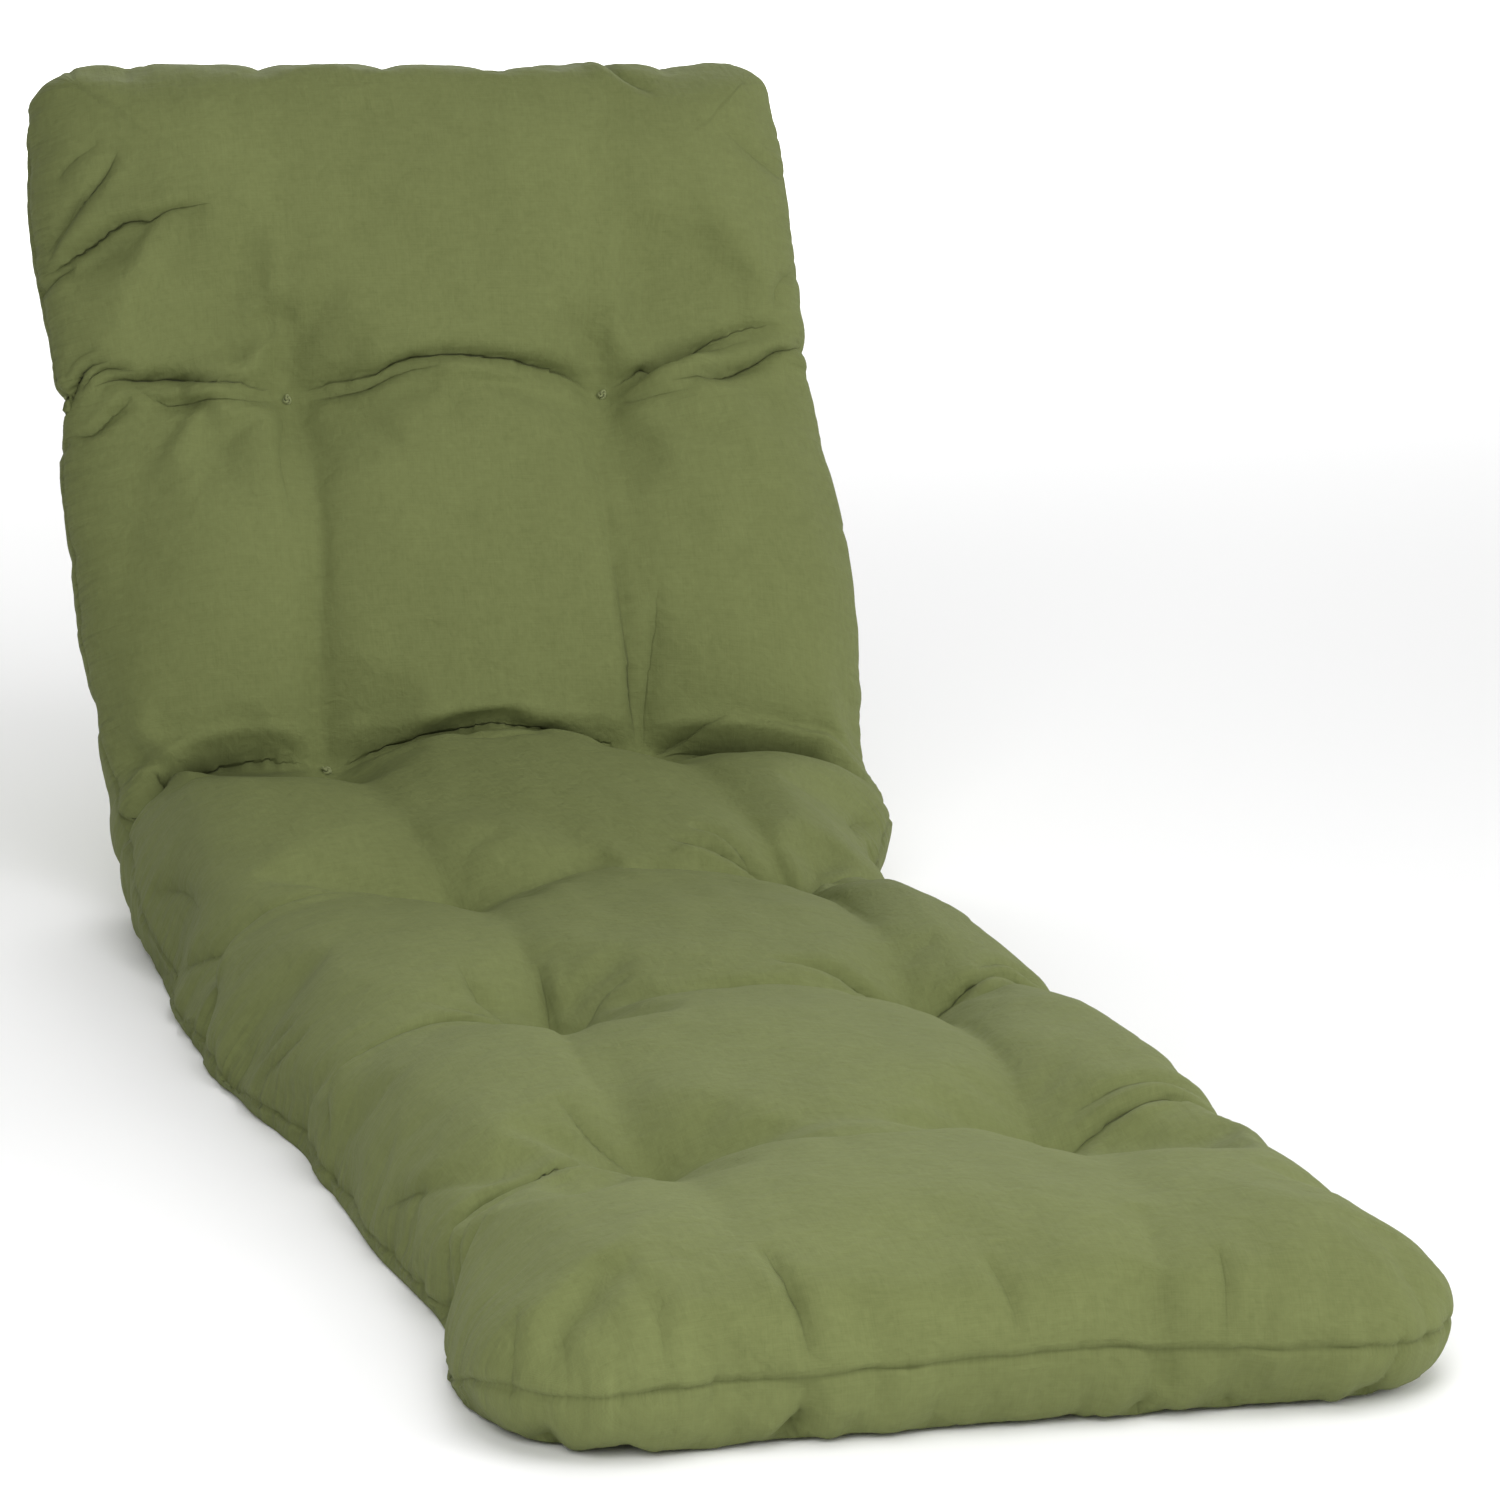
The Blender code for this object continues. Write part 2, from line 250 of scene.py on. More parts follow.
# Creases in the face, in millimetres: depth, width, height of the roll beside them, and points at (u, v).
# The roll lies towards the foot end, or towards the head end where its height is negative.
CREASES = [
    # Row 1, from its left tuft to the left edge
    (16, 6, 6, (-272, 1566), (-253, 1567), (-232, 1566), (-207, 1561), (-181, 1553), (-132, 1543)),
    (7, 5, -5, (-232, 1546), (-224, 1540), (-212, 1538), (-194, 1535), (-166, 1534), (-138, 1537)),
    (7, 4, -3, (-296, 1530), (-282, 1527), (-273, 1529), (-263, 1537), (-252, 1543), (-246, 1551)),
    (4, 4, 2, (-253, 1557), (-245, 1557), (-237, 1549), (-229, 1540)),
    (10, 4, 3, (-294, 1556), (-288, 1570), (-284, 1579), (-276, 1587), (-260, 1590)),
    (8, 4, 2, (-283, 1566), (-271, 1577), (-260, 1580), (-243, 1577)),
    (4, 4, 1, (-292, 1584), (-284, 1596), (-266, 1601)),
    # Row 1, between its tufts
    (16, 6, 6, (-118, 1543), (-96, 1549), (-65, 1552), (-43, 1559), (-19, 1563), (11, 1563), (43, 1559),
     (74, 1554), (102, 1549), (118, 1541)),
    (8, 5, -5, (-114, 1537), (-88, 1537), (-70, 1539), (-44, 1547), (-10, 1552)),
    # Row 1, from its right tuft to the right edge
    (17, 6, 7, (128, 1543), (150, 1553), (166, 1556), (191, 1561), (213, 1569), (266, 1586)),
    (4, 4, 1, (148, 1548), (181, 1551), (216, 1559), (248, 1568)),
    (10, 5, -5, (172, 1533), (205, 1535), (230, 1539), (250, 1547), (268, 1559), (294, 1573)),
    (5, 5, -2, (124, 1532), (156, 1526), (192, 1524)),
    # Columns of the back's lower panels
    (9.5, 10, 0, (-116, 1538), (-115, 1447), (-117, 1398), (-122, 1351), (-127, 1293), (-125, 1236)),
    (4, 6, 0, (-128, 1530), (-138, 1480), (-136, 1430)),
    (9, 9, 0, (122, 1536), (108, 1458), (110, 1384), (112, 1322), (119, 1238)),
    (6, 5, 2, (110, 1400), (114, 1307), (115, 1275), (117, 1243)),
    (5, 5, 0, (138, 1372), (128, 1300), (122, 1248)),
    # Columns of the head panels
    (5, 10, 0, (-126, 1546), (-140, 1585), (-144, 1640)),
    (4, 10, 0, (-135, 1550), (-170, 1580), (-188, 1620)),
    (5, 10, 0, (122, 1546), (112, 1590), (114, 1650)),
    # Head panels, left edge
    (8, 4, 2, (-292, 1672), (-277, 1692), (-263, 1708), (-246, 1724), (-234, 1742)),
    (12, 5, -4, (-295, 1664), (-281, 1669), (-260, 1679), (-237, 1689), (-214, 1687), (-170, 1690)),
    (12, 12, 0, (-284, 1652), (-255, 1667), (-225, 1678), (-180, 1684)),
    (5, 4, 1, (-293, 1678), (-279, 1696), (-270, 1708), (-260, 1718)),
    (7, 4, -3, (-297, 1652), (-287, 1659), (-274, 1664)),
    (4, 5, 1, (-280, 1730), (-266, 1742), (-246, 1750)),
    # Over the head end's edge
    (6, 11, 0, (-215, 1880), (-218, 1835), (-224, 1800)),
    (5, 8, 0, (-122, 1880), (-120, 1835), (-128, 1800)),
    (5, 10, 0, (-20, 1880), (-22, 1835), (-30, 1800)),
    (9, 14, 0, (66, 1880), (66, 1835), (60, 1795)),
    (7, 6, 3, (150, 1885), (148, 1835), (158, 1800), (180, 1780)),
    (6, 10, 0, (205, 1880), (203, 1835), (196, 1805)),
    # Head panels, right edge
    (4, 5, 2, (292, 1640), (270, 1622), (262, 1600)),
    (4, 6, 1, (290, 1720), (262, 1732), (230, 1752)),
    # The fold
    (20, 6, -8, (-301, 1184), (-282, 1199), (-256, 1218), (-225, 1236), (-190, 1243), (-140, 1238)),
    (9, 16, 0, (-262, 1204), (-228, 1220), (-190, 1226), (-140, 1224)),
    (5, 4, -3, (-266, 1164), (-240, 1178), (-215, 1188), (-175, 1192), (-132, 1206)),
    (11, 6, -4, (-122, 1233), (-104, 1240), (-87, 1245), (-57, 1250), (-31, 1253), (10, 1253), (50, 1248),
     (86, 1243), (120, 1235)),
    (24, 6, -8, (126, 1235), (160, 1240), (200, 1237), (240, 1227), (270, 1213), (300, 1188)),
    (8, 4, 3, (128, 1239), (138, 1247), (155, 1257), (176, 1273)),
    # Seat's right edge by the fold
    (4, 4, 1, (296, 1150), (280, 1110), (276, 1060)),
    (4, 4, 1, (298, 1100), (284, 1050), (284, 1000)),
    # Row 3
    (8, 6, 4, (-292, 905), (-262, 922), (-215, 930), (-160, 928)),
    (8, 6, 4, (126, 926), (180, 930), (240, 930), (290, 915)),
    (10, 6, 5, (120, 932), (104, 950), (78, 962), (45, 974)),
    (6, 5, 2, (104, 952), (96, 972), (80, 990), (66, 992)),
    (7, 7, 0, (124, 918), (130, 860), (128, 800), (126, 740)),
    # Row 4
    (8, 6, 4, (-292, 612), (-255, 620), (-190, 622), (-130, 618)),
    (4.5, 4, 3, (-124, 622), (-121, 654), (-117, 698)),
    (5, 5, 2, (-130, 624), (-152, 640), (-166, 668), (-172, 702)),
    (4, 5, 3, (-134, 626), (-160, 634), (-184, 644), (-212, 660)),
    (4, 6, 0, (-118, 616), (-100, 622), (-84, 640), (-60, 652)),
    (6, 8, 0, (-124, 612), (-134, 540), (-140, 450), (-132, 350)),
    (10, 6, 4, (126, 620), (160, 632), (205, 640), (250, 632), (292, 606)),
    (5, 5, 2, (190, 652), (232, 658), (280, 636)),
    (9, 6, 4, (120, 620), (100, 634), (70, 650), (30, 660)),
    (7, 7, 0, (122, 612), (130, 540), (126, 440), (124, 340)),
    # Row 5
    (10, 5, 5, (-295, 288), (-284, 308), (-262, 324), (-215, 322), (-130, 314)),
    (7, 4, 3, (-294, 262), (-282, 282), (-262, 296)),
    (4, 5, 2, (-292, 236), (-274, 262), (-248, 280)),
    (5, 6, 0, (-130, 320), (-152, 352), (-170, 400)),
    (8, 5, 4, (126, 314), (180, 326), (240, 322), (290, 300)),
    (5, 6, 3, (150, 345), (205, 352), (262, 338)),
    # Seat's left wall
    (5, 5, 2, (-294, 1090), (-280, 1050), (-276, 1010)),
    (6, 5, 2, (-295, 990), (-282, 960), (-270, 940)),
    (7, 5, 2, (-294, 880), (-284, 900), (-266, 916)),
    (5, 4, 1, (-293, 770), (-284, 745), (-270, 730)),
    (5, 4, 1, (-295, 740), (-286, 718), (-270, 702)),
    (6, 5, 2, (-294, 580), (-282, 604), (-262, 616)),
    (6, 5, 2, (-293, 440), (-284, 412), (-276, 386)),
    # Foot end
    (6, 6, 3, (-120, 80), (-113, 35), (-108, 0)),
    (5, 10, 0, (110, 105), (104, 62), (97, 0)),
    (4, 6, 1, (138, 50), (133, 0)),
    (4, 7, 1, (244, 55), (262, 10)),
    (4, 6, 1, (2, 55), (10, 0)),
    (2, 6, 1, (-194, 46), (-202, 1)),
    (2, 5, 1, (-252, 46), (-258, 16)),
    (3, 6, 1, (-268, 82), (-288, 36)),
]
# Creases in the underside's wall that shows under the seam at the foot end, in the same form
UNDER_CREASES = [
    (12, 8, -4, (-108, -4), (-116, 16), (-130, 50)),
    (6, 8, 3, (-270, 22), (-262, 46), (-250, 70)),
    (4, 9, 2, (-226, 2), (-220, 22), (-222, 45)),
    (4, 10, 2, (-30, -2), (-36, 20), (-34, 45)),
    (7, 8, 3, (98, -3), (86, 18), (78, 40)),
    (6, 8, 3, (136, -3), (140, 18), (150, 40)),
    (6, 9, 3, (236, 4), (226, 22), (220, 45)),
]
# Broad hollows, or swells where the depth is negative: u, v, depth, reach across, reach along
HOLLOWS = [
    (-0.185, 1.185, 0.018, 0.085, 0.042),
    (0.135, 1.195, 0.006, 0.050, 0.040),
    (-0.215, 1.214, 0.010, 0.050, 0.014),
    (0.235, 1.205, 0.016, 0.045, 0.018),
    (-0.020, 1.240, 0.010, 0.030, 0.010),
    (0.062, 1.236, 0.010, 0.024, 0.009),
    (-0.232, 1.664, 0.006, 0.040, 0.016),
    (-0.098, 0.975, -0.011, 0.050, 0.050),
    (-0.100, 0.675, -0.007, 0.045, 0.045),
    (-0.105, 0.365, -0.005, 0.045, 0.045),
    (-0.124, 0.500, -0.004, 0.050, 0.080),
    (-0.124, 0.790, -0.004, 0.050, 0.080),
]

# Where a row's channel gathers the rim: row from the foot end, side, how far along, depth, width
NOTCHES = [
    (0, -1, -0.004, 0.006, 0.009),
    (0, 1, 0.004, 0.004, 0.010),
    (1, -1, 0.000, 0.005, 0.009),
    (1, 1, 0.000, 0.006, 0.010),
    (2, -1, -0.008, 0.006, 0.009),
    (2, 1, 0.002, 0.012, 0.012),
    (3, -1, -0.035, 0.006, 0.009),
    (3, 1, -0.015, 0.008, 0.008),
    (4, -1, 0.022, 0.007, 0.008),
    (4, 1, 0.024, 0.007, 0.008),
]
NOTCH_REACH = 0.040
NOTCH_LEAN = 0.25
NOTCH_ROLL = 0.35
NOTCH_ROLL_PLACE = 2.4
NOTCH_ROLL_WIDTH = 1.3

# Knots of thread, one at each tuft
KNOT_RING = 0.0021
KNOT_WIND = 0.0013
KNOT_THREAD = 0.00118
KNOT_STRETCH = (1.0, 0.76, 1.08)
KNOT_SEAT = 0.0017
KNOT_SURROUND = 0.012
KNOT_SPIN = 0.9
LEFT_KNOT_SPIN = 0.5
KNOT_STEPS = 150
THREAD_SIDES = 12
THREAD_PLIES = 3
PLY_TURNS = 22
PLY_DEPTH = 0.13

# Finish
CLOTH_DARK = (0.128, 0.146, 0.050, 1)
CLOTH_LIGHT = (0.184, 0.210, 0.078, 1)
# Painted shade that darkens the cloth at crease bottoms, beside deep creases, in hollows and along the
# seam's line
PAINTED_SHADE_COLOUR = (0.040, 0.046, 0.014, 1)
THREAD_DARK = (0.1875, 0.2085, 0.0885, 1)
THREAD_LIGHT = (0.250, 0.278, 0.118, 1)
WEAVE_PITCH = 0.0009
STITCH_PITCH = 0.0040

# The cloth's patterns: how many to the metre across, along and upwards, detail, roughness and distortion
CLOTH_NOISES = {
    "slub_across": ((36, 1300, 1), 1, 0.5, 0.0),
    "slub_along": ((1300, 30, 1), 1, 0.5, 0.0),
    "crumple": ((52, 60, 1), 3, 0.55, 0.6),
    "small_crumple": ((210, 170, 1), 2, 0.5, 0.3),
    "cloud": ((9, 7, 1), 2, 0.5, 0.0),
}
SEAM_NOISES = {"gathers": ((120, 8, 1), 2, 0.5, 0.0)}
# How much each pattern does to the tint, the painted shade in creases, in hollows and along the seam, the
# roughness and the relief
TINT_WEIGHTS = {
    "cloud": 0.6, "slub_across": 0.5, "slub_along": 0.4, "small_crumple": 0.7, "crumple": 0.4,
    "weave": 0.10,
}
TINT_MIDDLE = 0.80
PAINTED_SHADE_WEIGHTS = {"groove": 0.40, "depth": 0.22, "hollow": 0.55, "near_seam": 0.30}
MOST_PAINTED_SHADE = 0.85
ROUGH_WEIGHTS = {"cloud": 0.10, "slub_across": 0.08, "small_crumple": 0.06}
CLOTH_ROUGHNESS = 0.66
BUMP_HEIGHTS = {
    "weave": 0.00005, "slub_across": 0.00010, "slub_along": 0.00008, "crumple": 0.0015,
    "small_crumple": 0.00050, "pulls": 0.00006, "gathers": 0.0060, "groove": -0.0018, "lip": 0.0018,
}
CLOTH_GLOSS = {
    "Sheen Weight": 0.03, "Sheen Roughness": 0.45, "Sheen Tint": (0.75, 0.80, 0.55, 1),
    "Specular IOR Level": 0.15,
}
# Needle pulls and painted shade along the seam, and gathers on the wall beside it that start past the foot
# end
NEEDLE_REACH = 0.0011
GATHERED_WALL = 0.026
GATHERS_START = (-0.93, -0.76, 0.15, 1.0)
# The same for the thread
THREAD_NOISES = {"fibre": ((2600, 2600, 2600), 2, 0.5, 0.0), "cloud": ((300, 300, 300), 1, 0.5, 0.0)}
THREAD_TINT = {"fibre": 0.7, "cloud": 0.3}
THREAD_ROUGH = {"fibre": 0.15}
THREAD_ROUGHNESS = 0.5
THREAD_BUMP = {"fibre": 0.00005}
THREAD_GLOSS = {"Sheen Weight": 0.10, "Specular IOR Level": 0.35}

# Camera and light
LENS = 132.2
CAMERA_PLACE = (-0.98105, -3.49925, 1.05782)
CAMERA_RIGHT = (0.95922, -0.28094, 0.03105)
CAMERA_UP = (0.03432, 0.22481, 0.97380)
CAMERA_BACK = (-0.28056, -0.93302, 0.22529)
FLOOR_HALF = 12.0
FLOOR_COLOUR = (0.97, 0.97, 0.97, 1)
FLOOR_ROUGHNESS = 0.9
FLOOR_GLOSS = {"Specular IOR Level": 0.1}
SKY_COLOUR = (1, 1, 1, 1)
# The sky brightens towards the right: from where to where, and how bright at each end
SKY_RANGE = (-0.2, 1.0, 0.12, 1.15)
# Soft lights: name, place, what they point at, size and power
LIGHTS = [
    ("front_left", (-1.2, -2.4, 1.6), (0, -0.5, 0.1), (1.5, 1.5), 38),
    ("over_foot", (0.2, -1.0, 2.2), (0, -0.6, 0.1), (1.5, 1.5), 18),
    ("low_right", (2.2, -2.0, 1.3), (0, -0.2, 0.1), (1.5, 1.5), 22),
    ("over_far_floor", (0, 8, 4), (0, 8, 0), (8, 6), 760),
]


def ease(t):
    t = np.clip(t, 0.0, 1.0)
    return t * t * (3.0 - 2.0 * t)


def mix(a, b, t):
    return a + (b - a) * t


def eased_table(places, values, v):
    """Values at v, eased from each place of a short table to the next."""
    places = np.asarray(places, float)
    values = np.asarray(values, float)
    v = np.clip(v, places[0], places[-1])
    index = np.clip(np.searchsorted(places, v, side="right") - 1, 0, len(places) - 2)
    t = (v - places[index]) / (places[index + 1] - places[index])
    return mix(values[index], values[index + 1], ease(t))


def outer_share(u):
    """0 between the tuft columns, rising to 1 at the side edges."""
    return np.clip((np.abs(u) - TUFT_COLUMN) / (HALF_WIDTH - TUFT_COLUMN), 0.0, 1.0)


def slant(u, v):
    """How far the rows' channels run off along the cushion on their way to the side edges."""
    places = np.concatenate([[0.0], TUFT_ROWS, [LENGTH]])
    left, right = (eased_table(places, np.pad(slants, 1), v) for slants in ROW_SLANT.T)
    return np.where(u < 0, left, right) * ease(outer_share(u))


def sideways(u, v):
    """Where a point of the flat cushion lies across, with the outline's drawn-in sides."""
    left, right, shift = (eased_table(OUTLINE[:, 0], column, v) for column in OUTLINE.T[1:])
    edge = np.where(u > 0, right, left)
    inner = np.clip(u, -TUFT_COLUMN, TUFT_COLUMN) + shift
    inner_edge = np.copysign(TUFT_COLUMN, u) + shift
    return inner + (edge - inner_edge) * outer_share(u)


def path_angle(v):
    knee = KNEE_TURN * ease((v - KNEE) / KNEE_RUN + 0.5)
    return knee + FOLD_TURN * ease((v - FOLD) / FOLD_RUN + 0.5)


PATH_V = np.arange(0.0, LENGTH + PATH_STEP, PATH_STEP)
PATH_TURN = path_angle(PATH_V[:-1] + PATH_STEP / 2)
PATH_Y = np.concatenate([[0.0], np.cumsum(np.cos(PATH_TURN)) * PATH_STEP])
PATH_Z = np.concatenate([[0.0], np.cumsum(np.sin(PATH_TURN)) * PATH_STEP]) + SEAM_HEIGHT


def lay(u, v, n):
    """Moves points of the flat cushion to where they lie."""
    along = v + slant(u, v)
    angle = path_angle(along)
    lift = n - SEAM_HEIGHT
    y = np.interp(along, PATH_V, PATH_Y) - lift * np.sin(angle)
    z = np.interp(along, PATH_V, PATH_Z) + lift * np.cos(angle)
    return np.stack([sideways(u, v), y, z], -1)


def tangents(u, v, n):
    """Which way and how far a point moves for each metre that it goes along u and along v."""
    step = PATH_STEP / 2
    across = (lay(u + step, v, n) - lay(u - step, v, n)) / (2 * step)
    low, high = np.clip(v - step, 0, LENGTH), np.clip(v + step, 0, LENGTH)
    along = (lay(u, high, n) - lay(u, low, n)) / (high - low)[..., None]
    return across, along


def corner_radius(v):
    return np.where(v < LENGTH / 2, FOOT_CORNER, HEAD_CORNER)


def past_corner(u, v):
    """How far a point lies past the middle of its rounded corner, across and along."""
    radius = corner_radius(v)
    return np.abs(u) - (HALF_WIDTH - radius), np.abs(v - LENGTH / 2) - (LENGTH / 2 - radius)


def distance_from_edge(u, v):
    across, along = past_corner(u, v)
    outside = np.hypot(np.maximum(across, 0), np.maximum(along, 0))
    inside = np.minimum(np.maximum(across, along), 0)
    return np.maximum(corner_radius(v) - (outside + inside), 0.0)


def rounding(distance, reach, squareness):
    t = np.clip(1.0 - distance / reach, 0.0, 1.0)
    return (1.0 - t ** squareness) ** (1.0 / squareness)


RIM_PLACE = SIDE_ROUNDING * (1.0 - np.cos(np.linspace(0.0, math.pi / 2, RIM_STEPS)))
RIM_HEIGHT = (THICKNESS - SEAM_HEIGHT) * rounding(RIM_PLACE, SIDE_ROUNDING, FACE_SQUARENESS)
RIM_WALK = np.concatenate([[0.0], np.cumsum(np.hypot(np.diff(RIM_PLACE), np.diff(RIM_HEIGHT)))])


def walk_in(distance):
    """How far the walk is from the seam over the rounded rim to a place this far in."""
    return np.interp(distance, RIM_PLACE, RIM_WALK) + np.maximum(distance - SIDE_ROUNDING, 0.0)


def place_in(walk):
    return np.interp(walk, RIM_WALK, RIM_PLACE) + np.maximum(walk - RIM_WALK[-1], 0.0)


def from_edges(u, v):
    """How far in a point lies from the nearer side and from the nearer end."""
    return HALF_WIDTH - np.abs(u), np.minimum(v, LENGTH - v)


def inward_walk(u, v):
    return walk_in(distance_from_edge(u, v))


def quarter_walk(radius):
    """How far it is along the seam from the middle of a side to the middle of an end."""
    return LENGTH / 2 - radius + radius * math.pi / 2 + HALF_WIDTH - radius


def rim_walk(u, v):
    """Where the nearest point of the seam lies along it, and which way is out from there.

    The walk starts at the middle of the right side and goes round by the head end.
    """
    radius = corner_radius(v)
    across, along = past_corner(u, v)
    from_side, from_end = from_edges(u, v)
    corner = (across > 0) & (along > 0)
    angle = np.where(corner, np.arctan2(np.maximum(along, TINY), np.maximum(across, TINY)), 0.0)
    at_end = ~corner & (from_end < from_side)
    walk = np.where(at_end, quarter_walk(radius) - np.abs(u), np.abs(v - LENGTH / 2))
    walk = np.where(corner, LENGTH / 2 - radius + radius * angle, walk)
    by_head_end = 2 * quarter_walk(HEAD_CORNER)
    whole = 2 * (quarter_walk(HEAD_CORNER) + quarter_walk(FOOT_CORNER))
    by_head = np.where(u > 0, walk, by_head_end - walk)
    by_foot = np.where(u > 0, whole - walk, by_head_end + walk)
    round_walk = np.where(v > LENGTH / 2, by_head, by_foot)
    out_u = np.where(corner, np.cos(angle), np.where(at_end, 0.0, 1.0)) * np.sign(u)
    out_v = np.where(corner, np.sin(angle), np.where(at_end, 1.0, 0.0)) * np.sign(v - LENGTH / 2)
    clear = np.where(corner, 1.0, ease(np.abs(from_end - from_side) / CORNER_CLEAR))
    return round_walk, out_u, out_v, clear


def past_pad(distance):
    return np.maximum(np.abs(distance) - TUFT_PAD, 0.0)


def pull(u, v, tuft_depth, channel_depth):
    """How deep the tufts and the channels between them draw the cover in."""
    column = past_pad(np.abs(u) - TUFT_COLUMN)
    depth = mix(channel_depth, tuft_depth, np.exp(-column / TUFT_REACH))
    row = np.min([past_pad(v - place) for place in TUFT_ROWS], axis=0)
    left, right = (eased_table(TUFT_ROWS, shares, v) for shares in ROW_SHARE.T)
    depth = depth * mix(1.0, np.where(u < 0, left, right), ease(outer_share(u)))
    return depth * np.exp(-row / CHANNEL_SPREAD)


def column_dip(u, v):
    column = past_pad(np.abs(u) - TUFT_COLUMN)
    ends = ease(v / END_EASE) * ease((LENGTH - v) / END_EASE)
    return COLUMN_DEPTH * ends * np.exp(-column / COLUMN_SPREAD)


def face_rounding_reach(u, v):
    """How far in the face rounds over: further at the two ends than along the sides."""
    from_side, from_end = from_edges(u, v)
    end_reach = np.where(v < LENGTH / 2, FOOT_ROUNDING, HEAD_ROUNDING)
    near_end = from_side / (from_side + from_end + TINY)
    return mix(SIDE_ROUNDING, end_reach, ease(near_end))


def face_height(u, v):
    crown = THICKNESS - CROWN_FALL * (u / HALF_WIDTH) ** 2
    full = crown - pull(u, v, TUFT_DEPTH, CHANNEL_DEPTH) - column_dip(u, v)
    edge = rounding(distance_from_edge(u, v), face_rounding_reach(u, v), FACE_SQUARENESS)
    return mix(SEAM_HEIGHT, full, edge)


def underside_height(u, v):
    """Flat on the ground up to the heel, then drawn in at the back's tufts."""
    along = v + slant(u, v)
    ground = SEAM_HEIGHT - np.interp(along, PATH_V, PATH_Z) / np.cos(path_angle(along))
    rear = pull(u, v, REAR_TUFT_DEPTH, REAR_CHANNEL_DEPTH)
    full = mix(ground, rear, ease((along - HEEL_START) / (HEEL_END - HEEL_START)))
    edge = rounding(distance_from_edge(u, v), UNDERSIDE_ROUNDING, UNDERSIDE_SQUARENESS)
    return mix(SEAM_HEIGHT, full, edge)


def smooth_noise(x, y, cell, seed):
    """Soft random hills from -1 to 1, one lattice cell wide, the same each run."""
    lattice = np.random.default_rng(seed).uniform(-1.0, 1.0, (LATTICE, LATTICE))
    x, y = x / cell + LATTICE_START[0], y / cell + LATTICE_START[1]
    column, row = np.floor(x).astype(int), np.floor(y).astype(int)
    tx, ty = ease(x - column), ease(y - row)

    def corner(dx, dy):
        return lattice[(row + dy) % LATTICE, (column + dx) % LATTICE]

    near = mix(corner(0, 0), corner(1, 0), tx)
    far = mix(corner(0, 1), corner(1, 1), tx)
    return mix(near, far, ty)


def seam_noise(walk, pattern):
    return smooth_noise(walk, 0 * walk, *PATTERNS[pattern])


def patches(walk, pattern, middle, spread):
    """Soft patches along the seam, from 0 to 1."""
    return ease(middle + spread * seam_noise(walk, pattern))


def sharp_folds(x, y, pattern):
    """0 in narrow valleys and up to 1 on the rounded cloth between them."""
    return np.minimum(1.0, FOLD_SHARPNESS * np.abs(smooth_noise(x, y, *PATTERNS[pattern])))


def even_walk(reach, cells):
    """Places from 0 to reach, evenly apart when walked over both rims, with a loop close to each seam."""
    half = float(walk_in(reach / 2))
    walk = np.concatenate([[0.0], np.linspace(SEAM_LOOP, 2 * half - SEAM_LOOP, cells - 1), [2 * half]])
    return np.where(walk < half, place_in(walk), reach - place_in(2 * half - walk))


def round_corners(u, v):
    """Turns the grid's square corners into round ones; each ring keeps its distance from the edge."""
    radius = corner_radius(v)
    across, along = past_corner(u, v)
    corner = (across > 0) & (along > 0)
    reach = np.maximum(across, along)
    whole = walk_in(radius)
    walk_u, walk_v = (whole - walk_in(distance) for distance in from_edges(u, v))
    share = np.minimum(walk_u, walk_v) / np.maximum(np.maximum(walk_u, walk_v), TINY)
    angle = np.where(walk_u >= walk_v, share, 2.0 - share) * math.pi / 4
    round_u = np.copysign(HALF_WIDTH - radius + reach * np.cos(angle), u)
    round_v = LENGTH / 2 + np.copysign(LENGTH / 2 - radius + reach * np.sin(angle), v - LENGTH / 2)
    return np.where(corner, round_u, u), np.where(corner, round_v, v)


def wander(u, v, points):
    """Moves points near the seam with its small waves and its rise and fall."""
    walk, out_u, out_v, clear = rim_walk(u, v)
    near = np.exp(-inward_walk(u, v) / EDGE_REACH) * clear
    wave = seam_noise(walk, "edge") + FINE_EDGE * seam_noise(walk, "fine edge")
    start, full, fade, end = DROP_PLACES
    drop = ease((v - start) / (full - start)) * (1.0 - ease((v - fade) / (end - fade)))
    out = EDGE_WAVE * wave - SEAM_TUCK * drop
    for side, place, amount, spread in TIPS:
        away = np.hypot(u - side * (HALF_WIDTH - TIP_INSET), v - place)
        out = out + amount * np.exp(-(away / spread) ** 2)
    across, along = tangents(u, v, np.full_like(u, SEAM_HEIGHT))
    moved = points + (near * out * out_u)[..., None] * across + (near * out * out_v)[..., None] * along
    angle = path_angle(v + slant(u, v))
    lift = near * (SEAM_WANDER * seam_noise(walk, "seam height") - SEAM_DROP * drop)
    return moved + lift[..., None] * np.stack([0 * angle, -np.sin(angle), np.cos(angle)], -1)


def grid_blocks(rows, columns, places):
    """Rectangles of the lower sheet's cells: single ones in the outer rings, larger ones inside."""
    blocks = []
    for row in range(rows - 1):
        for column in range(columns - 1):
            ring = min(row, column, rows - 2 - row, columns - 2 - column)
            if ring < LOWER_RINGS:
                blocks.append((row, row + 1, column, column + 1))
    last_row, last_column = rows - 1 - LOWER_RINGS, columns - 1 - LOWER_RINGS
    row = LOWER_RINGS
    while row < last_row:
        size = SEAT_BLOCK if places[row] < REAR_START else REAR_BLOCK
        next_row = min(row + size, last_row)
        for column in range(LOWER_RINGS, last_column, size):
            blocks.append((row, next_row, column, min(column + size, last_column)))
        row = next_row
    return blocks


def block_outline(block):
    """The grid's points round a block, counter-clockwise as seen from below."""
    top, bottom, left, right = block
    walk = [(row, left) for row in range(top, bottom)]
    walk += [(bottom, column) for column in range(left, right)]
    walk += [(row, right) for row in range(bottom, top, -1)]
    return walk + [(top, column) for column in range(right, left, -1)]


